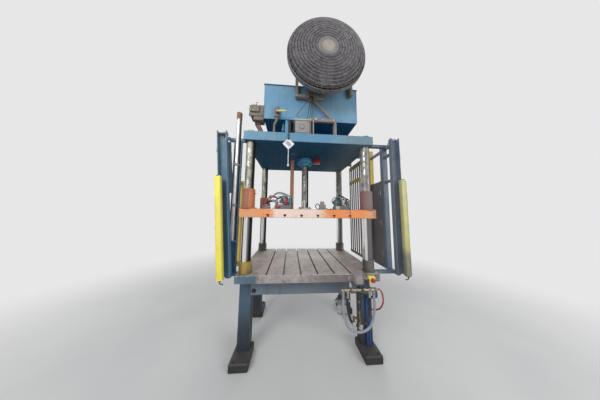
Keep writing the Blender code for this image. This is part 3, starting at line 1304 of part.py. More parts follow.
def hose_route(left, right, top, drop):
    """Points of a hose that hangs in a loop between two downward outlets."""
    straight = HOSE_RADIUS * 3
    low = top - drop
    middle = (left + right) / 2
    half = (right - left) / 2
    return [
        (left, air_pipe_y, top),
        (left, air_pipe_y, top - straight),
        (left - half * 0.03, air_pipe_y, top - drop * 0.35),
        (left + half * 0.06, air_pipe_y, top - drop * 0.62),
        (left + half * 0.36, air_pipe_y, top - drop * 0.90),
        (middle, air_pipe_y, low),
        (right - half * 0.36, air_pipe_y, top - drop * 0.90),
        (right - half * 0.06, air_pipe_y, top - drop * 0.62),
        (right + half * 0.03, air_pipe_y, top - drop * 0.35),
        (right, air_pipe_y, top - straight),
        (right, air_pipe_y, top),
    ]


def smooth_route(points, per_span=2):
    """A Catmull-Rom curve through the route's points."""
    places = [Vector(point) for point in points]
    padded = [places[0] * 2 - places[1]] + places + [places[-1] * 2 - places[-2]]
    result = []
    for before, start, end, after in zip(padded, padded[1:], padded[2:], padded[3:]):
        for step in range(per_span):
            t = step / per_span
            result.append(0.5 * (
                2 * start + (end - before) * t
                + (2 * before - 5 * start + 4 * end - after) * t ** 2
                + (3 * start - before - 3 * end + after) * t ** 3
            ))
    result.append(places[-1])
    return result


def make_hose(name, left, right, top, drop, look, press):
    tube(name, smooth_route(hose_route(left, right, top, drop)), HOSE_RADIUS, look, press)


def make_air_unit(press):
    """A filter and regulator hung from the front rail on a bent plate."""
    wide, deep, high = AIR_UNIT_SIZE
    rail_face = -leg_y - LEG_SIZE / 2 - GAP
    plate_top = rail_bottom + RAIL_HEIGHT / 3
    body_top = rail_bottom - AIR_UNIT_DROP
    plate_bottom = body_top - high
    x = bolster_half_x - AIR_UNIT_INSET
    plate = block("air_unit", (wide / 2, AIR_HANGER_THICK, plate_top - plate_bottom),
                  (x, rail_face - AIR_HANGER_THICK / 2, (plate_top + plate_bottom) / 2), "box_grey", press)
    body_y = rail_face - AIR_HANGER_THICK / 2 - deep / 2
    pieces = [block("air_body", AIR_UNIT_SIZE, (x, body_y, body_top - high / 2), "box_grey", press,
                    edge=PLATE_EDGE)]
    bowl_z = body_top - high - AIR_BOWL_LENGTH / 2 + AIR_BOWL_SINK
    for label, side in (("filter", -1), ("oiler", 1)):
        pieces.append(cylinder("air_" + label, AIR_BOWL_RADIUS, AIR_BOWL_LENGTH,
                               (x + side * wide / 4, body_y, bowl_z), "box_grey", press, sides=16))
    pieces.append(cylinder("air_knob", AIR_BOWL_RADIUS * 0.8, AIR_UNIT_DROP * 0.7,
                           (x - wide / 4, body_y, body_top + AIR_UNIT_DROP * 0.3), "box_grey", press,
                           sides=16))
    weld(plate, *pieces)


def main():
    clear_scene()
    press = empty("press_floor", (0, 0, -bed_top))
    ram = empty("ram_axis", (0, 0, platen_bottom), press)
    head = empty("fan_tilt_axis", fan_pivot, press)
    hub = empty("fan_spin_axis", (0, -HUB_OFFSET, 0), head)
    make_feet(press)
    make_bed_ends(press)
    make_bed_rails(press)
    make_bolster(press)
    make_columns(press)
    make_collars(press)
    make_crown(press)
    make_cylinder(press)
    make_tank(press)
    make_valve_block(press)
    make_drain_valve(press)
    make_motor_and_pump(press)
    make_ram(ram)
    make_left_guard(press)
    make_right_guard(press)
    make_slat_guard(press)
    make_fan_bracket(press)
    make_fan_head(head)
    make_fan_blades(hub)
    make_sign(press)
    make_junction_box(press)
    make_controls(press)
    make_air_service(press)


main()
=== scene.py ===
import math
import random

import bmesh
import bpy
from mathutils import Matrix, Vector


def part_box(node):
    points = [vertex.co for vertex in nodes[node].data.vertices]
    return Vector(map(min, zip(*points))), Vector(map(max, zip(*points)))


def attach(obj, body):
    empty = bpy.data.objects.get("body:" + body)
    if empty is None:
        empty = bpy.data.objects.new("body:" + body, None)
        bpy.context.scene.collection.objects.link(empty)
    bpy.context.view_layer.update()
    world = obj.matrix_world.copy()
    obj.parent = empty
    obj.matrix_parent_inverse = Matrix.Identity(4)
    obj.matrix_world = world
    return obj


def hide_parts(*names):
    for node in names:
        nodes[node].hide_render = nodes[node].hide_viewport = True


# The looks of a four-column hydraulic press: finishes, fasteners, wire guard, hoses and fittings.
# Metres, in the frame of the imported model: the origin is the centre of the bolster's top face.
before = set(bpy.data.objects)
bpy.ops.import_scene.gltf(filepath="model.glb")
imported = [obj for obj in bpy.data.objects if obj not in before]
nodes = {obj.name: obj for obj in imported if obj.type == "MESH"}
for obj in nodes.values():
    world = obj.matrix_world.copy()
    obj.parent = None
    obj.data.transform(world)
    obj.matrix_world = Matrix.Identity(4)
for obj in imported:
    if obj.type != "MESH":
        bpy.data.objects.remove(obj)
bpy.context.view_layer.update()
parts = {name: tuple(Vector(corner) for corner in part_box(name)) for name in nodes}
crown_low, crown_high = parts["crown"]
platen_low, platen_high = parts["platen"]
floor_height = parts["foot_front_left"][0].z

ORIGIN = Vector((0, 0, 0))
UP, DOWN = Vector((0, 0, 1)), Vector((0, 0, -1))
BACK, FRONT = Vector((0, 1, 0)), Vector((0, -1, 0))
RIGHT, LEFT = Vector((1, 0, 0)), Vector((-1, 0, 0))

# The camera stands a little left of the press and looks slightly up, with a very wide lens.
EYE = Vector((-0.2085, -2.0441, 0.625))
EYE_YAW = math.radians(3.82)
EYE_PITCH = math.radians(5.57)
EYE_ROLL = math.radians(0.70)
LENS_MM = 8.41
SENSOR_MM = 36.0

# The studio: the light of the sky, what is seen behind the press, the floor and the lights.
SKY_LIGHT = (0.86, 0.88, 0.92, 1)
SKY_STRENGTH = 0.42
BACKDROP = (0.8, 0.8, 0.8, 1)
FLOOR_HALF = 30.0
# The floor lies this far under the feet, so that their faces don't coincide.
FLOOR_DROP = 0.0005
# Name, place, target, size and power.
LIGHTS = (("key", (-2.6, -4.2, 3.4), (0, 0, 0.8), 2.6, 150),
          ("fill", (3.6, -3.4, 2.2), (0, 0, 0.6), 3.0, 85),
          ("rear", (0.5, 4.5, 3.5), (0, 0, 1.0), 3.0, 90))

# Faces that meet at less than this are shaded as one.
SMOOTH_BELOW = math.radians(32)
# Straight runs per span of a smoothed route.
ROUTE_STEPS = 6

AIR_PIPE_Y = -0.6
HOSE_RADIUS = 0.012
# Left end, right end and drop of each loop.
LOOPED_HOSES = {"hose_grey": (0.33, 0.645, 0.36), "hose_black": (0.375, 0.6, 0.3)}

FAN_RINGS_FRONT = 33
FAN_RINGS_REAR = 22
FAN_SPOKES = 48
FAN_WIRE = 0.0036
FAN_MOTOR_RADIUS = 0.08
BADGE_RADIUS = 0.095
RIM_RADIUS = (parts["fan_guard"][1].x - parts["fan_guard"][0].x) / 2 - 0.004
RIM_BAND = 0.035

# Heights above the floor.
AIR_PIPE_HEIGHT = 0.795
AIR_UNIT_TOP = 0.6
MOTOR_AXIS_HEIGHT = 2.5893
TUBE_TOP = 2.735
SLAT_TOP = 2.33

# The mounting flange on the crown, with the gap that keeps two solids apart.
FLANGE_TOP = 0.0353

GUARD_LENGTH = 1.575
GUARD_LEAN = math.radians(4.8)
CURTAIN_LENGTH = 1.05
TUBE_RADIUS = 0.0288


def above_floor(height):
    return floor_height + height


# Materials.

# Width of the worn band along an edge.
WORN_EDGE = 0.004


class Finish:
    """Builds one procedural material node by node. Coordinates are metres on the object itself."""

    def __init__(self, roughness=0.5, metallic=0.0):
        self.material = bpy.data.materials.new("finish")
        self.material.use_nodes = True
        self.tree = self.material.node_tree
        self.shader = self.tree.nodes["Principled BSDF"]
        self.shader.inputs["Roughness"].default_value = roughness
        self.shader.inputs["Metallic"].default_value = metallic
        self.place = self.tree.nodes.new("ShaderNodeTexCoord").outputs["Object"]

    def node(self, kind, **settings):
        made = self.tree.nodes.new(kind)
        for key, value in settings.items():
            setattr(made, key, value)
        return made

    def feed(self, socket, value):
        if isinstance(value, bpy.types.NodeSocket):
            self.tree.links.new(value, socket)
        elif isinstance(value, tuple) and len(value) == 3 and socket.type == "RGBA":
            socket.default_value = (*value, 1.0)
        else:
            socket.default_value = value

    def stretched(self, scale):
        mapping = self.node("ShaderNodeMapping")
        self.feed(mapping.inputs["Vector"], self.place)
        mapping.inputs["Scale"].default_value = scale
        return mapping.outputs["Vector"]

    def noise(self, scale, detail=4.0, roughness=0.55, distortion=0.0, place=None):
        made = self.node("ShaderNodeTexNoise")
        self.feed(made.inputs["Vector"], place or self.place)
        made.inputs["Scale"].default_value = scale
        made.inputs["Detail"].default_value = detail
        made.inputs["Roughness"].default_value = roughness
        made.inputs["Distortion"].default_value = distortion
        return made.outputs["Fac"]

    def coordinate(self, axis):
        split = self.node("ShaderNodeSeparateXYZ")
        self.feed(split.inputs[0], self.place)
        return split.outputs[axis]

    def facing(self, axis):
        """Which way a face looks along an axis of the object itself, from -1 to 1."""
        split = self.node("ShaderNodeSeparateXYZ")
        self.feed(split.inputs[0], self.node("ShaderNodeTexCoord").outputs["Normal"])
        return split.outputs[axis]

    def maths(self, operation, first, second=0.0, third=0.0):
        made = self.node("ShaderNodeMath", operation=operation)
        for socket, value in zip(made.inputs, (first, second, third)):
            self.feed(socket, value)
        return made.outputs[0]

    def times(self, first, second):
        return self.maths("MULTIPLY", first, second)

    def most(self, first, second):
        return self.maths("MAXIMUM", first, second)

    def between(self, value, low, high, out_low=0.0, out_high=1.0):
        """A smooth step from out_low to out_high as value goes from low to high."""
        made = self.node("ShaderNodeMapRange", interpolation_type="SMOOTHSTEP")
        for socket, number in zip(made.inputs, (value, low, high, out_low, out_high)):
            self.feed(socket, number)
        return made.outputs[0]

    def mix(self, share, first, second, blend="MIX"):
        made = self.node("ShaderNodeMix", data_type="RGBA", blend_type=blend)
        self.feed(made.inputs["Factor"], share)
        colours = [socket for socket in made.inputs if socket.type == "RGBA"]
        self.feed(colours[0], first)
        self.feed(colours[1], second)
        return [socket for socket in made.outputs if socket.type == "RGBA"][0]

    def edges(self, radius):
        """1 along convex and concave edges, 0 on flats."""
        rounded = self.node("ShaderNodeBevel", samples=4)
        rounded.inputs["Radius"].default_value = radius
        flat = self.node("ShaderNodeNewGeometry").outputs["Normal"]
        dot = self.node("ShaderNodeVectorMath", operation="DOT_PRODUCT")
        self.feed(dot.inputs[0], rounded.outputs["Normal"])
        self.feed(dot.inputs[1], flat)
        return self.between(dot.outputs["Value"], 0.995, 0.90)

    def occlusion_shade(self, distance):
        """1 where another surface is close, 0 in the open: ambient occlusion, used as painted shade in
        corners.
        """
        shadow = self.node("ShaderNodeAmbientOcclusion", samples=4)
        shadow.inputs["Distance"].default_value = distance
        return self.maths("SUBTRACT", 1.0, shadow.outputs["AO"])

    def relief(self, height, strength, depth=0.001):
        bump = self.node("ShaderNodeBump")
        bump.inputs["Strength"].default_value = strength
        bump.inputs["Distance"].default_value = depth
        self.feed(bump.inputs["Height"], height)
        self.feed(self.shader.inputs["Normal"], bump.outputs["Normal"])

    def colour(self, value):
        self.feed(self.shader.inputs["Base Color"], value)

    def gloss(self, value):
        self.feed(self.shader.inputs["Roughness"], value)

    def metal(self, value):
        self.feed(self.shader.inputs["Metallic"], value)


def painted(colour, faded, grime=(0.05, 0.045, 0.04), dirt=0.5, chips=0.35, under=(0.1, 0.085, 0.075),
            rough=0.48, streaks=0.4, shades=()):
    """Shop paint: uneven fading, streaks that run down, oily dirt blotches deepened by painted shade in
    corners, chipped edges and scratches.

    Each of shades is (kind, axis, start, full, colour, share): a second colour that sets in along an axis, by
    where a point is ("at") or by which way its face looks ("facing"). Several facing shades are painted shade
    on undersides or sides, or painted light on tops."""
    f = Finish()
    f.feed(f.shader.inputs["Specular IOR Level"], f.between(f.facing("Z"), -0.5, -0.9, 0.3, 0.02))
    wide = f.noise(1.7, 3.0)
    fine = f.noise(34.0, 5.0, 0.65)
    base = f.mix(f.between(wide, 0.38, 0.66), colour, faded)
    runs = f.noise(7.0, 4.0, 0.6, 0.3, f.stretched((4.0, 4.0, 0.35)))
    base = f.mix(f.between(runs, 0.52, 0.78, 0.0, streaks), base, grime)
    blotch = f.noise(5.5, 6.0, 0.68, 0.6)
    # Painted corner shade: ambient occlusion deepens the dirt blotches where surfaces are close.
    corner = f.between(f.occlusion_shade(0.06), 0.15, 0.75)
    dark_patches = f.times(f.between(blotch, 0.42, 0.72), f.maths("MULTIPLY_ADD", corner, 0.75, 0.3))
    base = f.mix(f.times(dark_patches, dirt), base, grime)
    for kind, axis, start, full, shade, share in shades:
        value = f.coordinate(axis) if kind == "at" else f.facing(axis)
        if kind == "at":
            value = f.maths("MULTIPLY_ADD", f.noise(6.0, 5.0, 0.65), 0.14, value)
        amount = f.times(f.between(value, start, full, 0.0, share), f.between(fine, 0.1, 0.6, 0.75, 1.0))
        base = f.mix(amount, base, shade)
    worn_edge = f.times(f.edges(WORN_EDGE), f.between(f.noise(26.0, 5.0, 0.7), 0.46, 0.6))
    scratch = f.between(f.noise(9.0, 7.0, 0.74, 1.4), 0.685, 0.7)
    chipped = f.times(f.most(worn_edge, f.times(scratch, 0.7)), chips)
    f.colour(f.mix(chipped, base, under))
    f.gloss(f.between(fine, 0.25, 0.75, rough - 0.08, rough + 0.18))
    f.relief(f.maths("SUBTRACT", f.times(fine, 0.35), chipped), 0.35)
    return f.material


def bare_metal(colour, stain, rough=0.32, stains=0.5, grain=(1.0, 1.0, 14.0), metallic=0.9):
    """Machined or drawn metal, with a grain along one direction, stains, handling marks and painted shade in
    corners.
    """
    f = Finish(metallic=metallic)
    lines = f.noise(60.0, 3.0, 0.6, 0.0, f.stretched(grain))
    blotch = f.noise(6.0, 6.0, 0.65, 0.5)
    dark_patches = f.times(f.between(blotch, 0.44, 0.7), stains)
    base = f.mix(f.between(lines, 0.3, 0.7, 0.0, 0.35), colour, tuple(c * 0.72 for c in colour))
    # Painted corner shade: ambient occlusion gives the stain colour where surfaces are close.
    corner = f.between(f.occlusion_shade(0.03), 0.2, 0.8, 0.0, 0.7)
    f.colour(f.mix(f.most(dark_patches, corner), base, stain))
    f.metal(f.between(dark_patches, 0.0, 1.0, metallic, metallic * 0.35))
    f.gloss(f.between(blotch, 0.3, 0.75, rough - 0.08, rough + 0.25))
    f.relief(lines, 0.12, 0.0005)
    return f.material


def column_chrome(greased_from, lit, shade_from, pale, brown):
    """Hard chrome, bare where the ram slides and caked with old grease above it, with a painted highlight and
    painted black shade down its sides.

    lit is the span of sideways facing that gets the painted highlight, and painted black shade covers the
    faces that look further right than the third argument."""
    f = Finish()
    ragged = f.maths("MULTIPLY_ADD", f.noise(11.0, 4.0, 0.6), 0.16, f.coordinate("Z"))
    mottle = f.noise(24.0, 6.0, 0.7, 0.8)
    caked = f.times(f.between(ragged, greased_from + 0.06, greased_from + 0.1),
                    f.between(mottle, 0.36, 0.58, 0.45, 1.0))
    grease = f.mix(f.between(f.noise(13.0, 5.0), 0.4, 0.65), pale, brown)
    # Painted shade: faces that look right past the given facing turn nearly black, and faces outside the lit
    # span turn dark grey.
    sideways = f.facing("X")
    aside = f.between(sideways, shade_from, shade_from + 0.16)
    side_shade_breakup = f.between(f.noise(9.0, 4.0, 0.6, 0.3, f.stretched((1.0, 1.0, 0.2))), 0.25, 0.5, 0.86, 1.0)
    aside = f.times(aside, side_shade_breakup)
    film = f.between(f.noise(30.0, 4.0, 0.6, 0.4, f.stretched((1.0, 1.0, 0.12))), 0.46, 0.7, 0.0, 0.5)
    # The pale chrome colour is a painted highlight on the lit span of facing.
    bright = f.mix(film, (0.8, 0.8, 0.81), (0.3, 0.27, 0.24))
    outside_highlight = f.most(f.between(sideways, lit[1], lit[1] + 0.18), f.between(sideways, lit[0], lit[0] - 0.18))
    bright = f.mix(f.times(outside_highlight, 0.86), bright, (0.08, 0.077, 0.074))
    f.colour(f.mix(aside, f.mix(caked, bright, grease), (0.016, 0.015, 0.014)))
    f.metal(f.maths("SUBTRACT", 1.0, f.most(f.times(caked, 0.9), aside)))
    f.gloss(f.most(f.most(f.times(caked, 0.55), f.times(aside, 0.6)),
                    f.between(film, 0.0, 0.5, 0.14, 0.34)))
    f.feed(f.shader.inputs["Specular IOR Level"], f.between(aside, 0.0, 1.0, 0.4, 0.08))
    f.relief(f.times(mottle, caked), 0.4)
    return f.material


def bright_bar(level, shade_from=0.3, specks=0.65, metallic=0.75):
    """A polished bar: speckled bright metal with painted shade down both its sides."""
    f = Finish()
    sideways = f.facing("X")
    # Painted shade: faces that look right past the given facing, or far to the left, turn nearly black.
    aside = f.most(f.between(sideways, shade_from, shade_from + 0.35), f.between(sideways, -0.66, -0.86))
    speck = f.between(f.noise(34.0, 5.0, 0.7, 0.6, f.stretched((1.0, 1.0, 0.35))), 0.42, 0.62)
    spotted = tuple(level * share for share in (0.35, 0.33, 0.3))
    base = f.mix(f.times(speck, specks), (level, level, level * 1.01), spotted)
    f.colour(f.mix(f.times(aside, 0.92), base, (0.03, 0.028, 0.027)))
    f.metal(f.between(aside, 0.0, 1.0, metallic, 0.05))
    f.gloss(f.maths("MULTIPLY_ADD", aside, 0.25, f.between(speck, 0.0, 1.0, 0.22, 0.42)))
    f.feed(f.shader.inputs["Specular IOR Level"], f.between(aside, 0.0, 1.0, 0.4, 0.1))
    f.relief(speck, 0.08, 0.0003)
    return f.material


def bolster_steel():
    """Old machined plate: grey-brown, oily, with arc-shaped scratches, blue paint on its left corner and
    painted shadow over the right of its front.
    """
    f = Finish()
    wide = f.noise(2.6, 4.0, 0.6, 0.4)
    mottle = f.noise(19.0, 7.0, 0.7)
    base = f.mix(f.between(wide, 0.38, 0.66), (0.44, 0.41, 0.385), (0.31, 0.285, 0.27))
    base = f.mix(f.between(mottle, 0.46, 0.7, 0.0, 0.55), base, (0.12, 0.1, 0.085))
    oily = f.between(f.noise(4.2, 5.0, 0.6, 0.9), 0.56, 0.7)
    base = f.mix(f.times(oily, 0.6), base, (0.075, 0.06, 0.05))
    cuts = f.between(f.noise(3.2, 8.0, 0.8, 2.6), 0.6, 0.612)
    rubbed = f.most(f.times(f.edges(WORN_EDGE), 0.75), f.times(cuts, 0.35))
    leftward = f.maths("MULTIPLY_ADD", f.noise(8.0, 5.0, 0.65), 0.1, f.coordinate("X"))
    coat = f.times(f.between(leftward, -0.46, -0.53), f.between(f.facing("Z"), 0.6, 0.3))
    base = f.mix(f.times(coat, 0.9), base, (0.075, 0.15, 0.205))
    # Painted shadow: the faces that don't look up darken towards the right.
    painted_shadow_right = f.times(f.between(leftward, -0.2, 0.28), f.between(f.facing("Z"), 0.6, 0.3))
    base = f.mix(f.times(painted_shadow_right, 0.7), base, (0.125, 0.105, 0.102))
    f.colour(f.mix(rubbed, base, (0.5, 0.48, 0.46)))
    f.metal(f.between(rubbed, 0.0, 1.0, 0.22, 0.8))
    f.gloss(f.between(oily, 0.0, 1.0, 0.58, 0.3))
    f.relief(f.maths("SUBTRACT", f.times(mottle, 0.4), cuts), 0.3)
    return f.material


def platen_paint():
    """Bright orange paint, rubbed pale and pinkish across the left of the front, dark with oil on top."""
    f = Finish()
    across = f.coordinate("X")
    wander = f.maths("MULTIPLY_ADD", f.noise(4.0, 5.0, 0.65), 0.5, across)
    into = f.between(wander, -0.26, -0.1)
    out = f.between(wander, 0.28, 0.48, 1.0, 0.0)
    pale = f.times(f.times(into, out), f.between(f.noise(16.0, 6.0, 0.7), 0.22, 0.5))
    base = f.mix(f.between(f.noise(2.4, 4.0), 0.4, 0.62), (0.8, 0.27, 0.085), (0.72, 0.34, 0.16))
    base = f.mix(f.times(pale, 0.85), base, (0.88, 0.74, 0.67))
    far_right = f.maths("MULTIPLY_ADD", f.noise(9.0, 5.0, 0.7), 0.16, across)
    base = f.mix(f.between(far_right, 0.74, 0.84, 0.0, 0.7), base, (0.25, 0.14, 0.1))
    flat_on = f.between(f.facing("Z"), 0.6, 0.9)
    grime = f.times(flat_on, f.between(f.noise(7.0, 6.0, 0.68), 0.34, 0.6, 0.55, 0.95))
    base = f.mix(grime, base, (0.115, 0.085, 0.07))
    spots = f.between(f.noise(30.0, 5.0, 0.7), 0.62, 0.7, 0.0, 0.7)
    base = f.mix(spots, base, (0.17, 0.08, 0.05))
    chip = f.times(f.edges(WORN_EDGE), f.between(f.noise(22.0, 5.0, 0.7), 0.44, 0.58))
    f.colour(f.mix(chip, base, (0.26, 0.2, 0.18)))
    f.gloss(f.between(f.noise(12.0, 4.0), 0.3, 0.7, 0.38, 0.62))
    f.relief(f.noise(40.0, 4.0), 0.2)
    return f.material


def rubber(colour, rough=0.55):
    f = Finish()
    dusty = f.noise(15.0, 5.0, 0.65)
    f.colour(f.mix(f.between(dusty, 0.45, 0.75, 0.0, 0.5), colour, tuple(c * 0.5 + 0.1 for c in colour)))
    f.gloss(f.between(dusty, 0.3, 0.7, rough - 0.12, rough + 0.2))
    f.relief(f.noise(220.0, 2.0), 0.15, 0.0004)
    return f.material


def hazard():
    """Slanting yellow and black bands, dirty and chipped."""
    f = Finish()
    along = f.maths("ADD", f.coordinate("Y"), f.coordinate("Z"))
    band = f.maths("GREATER_THAN", f.maths("FRACT", f.times(along, 14.0)), 0.5)
    base = f.mix(band, (0.75, 0.56, 0.03), (0.022, 0.022, 0.022))
    worn = f.between(f.noise(24.0, 6.0, 0.7), 0.55, 0.66, 0.0, 0.8)
    f.colour(f.mix(worn, base, (0.12, 0.11, 0.09)))
    f.gloss(f.between(f.noise(12.0), 0.3, 0.7, 0.4, 0.65))
    f.relief(worn, 0.2)
    return f.material


def dusty_wire():
    """Grey enamelled wire under a felt of dust, with bare bright spots."""
    f = Finish()
    felt = f.noise(28.0, 5.0, 0.7)
    base = f.mix(f.between(felt, 0.35, 0.65), (0.23, 0.218, 0.226), (0.13, 0.122, 0.128))
    bare = f.between(f.noise(75.0, 3.0), 0.64, 0.71)
    f.colour(f.mix(bare, base, (0.34, 0.33, 0.33)))
    f.metal(f.times(bare, 0.6))
    f.gloss(f.between(felt, 0.3, 0.7, 0.55, 0.85))
    f.relief(felt, 0.4)
    return f.material


def moulded(colour, rough=0.4, dirt=0.35):
    f = Finish()
    smear = f.noise(9.0, 6.0, 0.66, 0.5)
    base = f.mix(f.between(smear, 0.45, 0.72, 0.0, dirt), colour, (0.07, 0.06, 0.05))
    edge = f.times(f.edges(0.002), 0.35)
    f.colour(f.mix(edge, base, tuple(min(1.0, c * 1.4 + 0.05) for c in colour)))
    f.gloss(f.between(smear, 0.3, 0.7, rough - 0.1, rough + 0.2))
    f.relief(f.noise(300.0, 2.0), 0.12, 0.0003)
    return f.material


def clear_bowl():
    """Cloudy polycarbonate with oil mist inside."""
    f = Finish(roughness=0.25)
    cloud = f.noise(18.0, 4.0)
    f.colour(f.mix(f.between(cloud, 0.4, 0.7), (0.62, 0.64, 0.62), (0.46, 0.44, 0.36)))
    f.gloss(f.between(cloud, 0.3, 0.7, 0.12, 0.3))
    f.shader.inputs["Transmission Weight"].default_value = 0.35
    return f.material


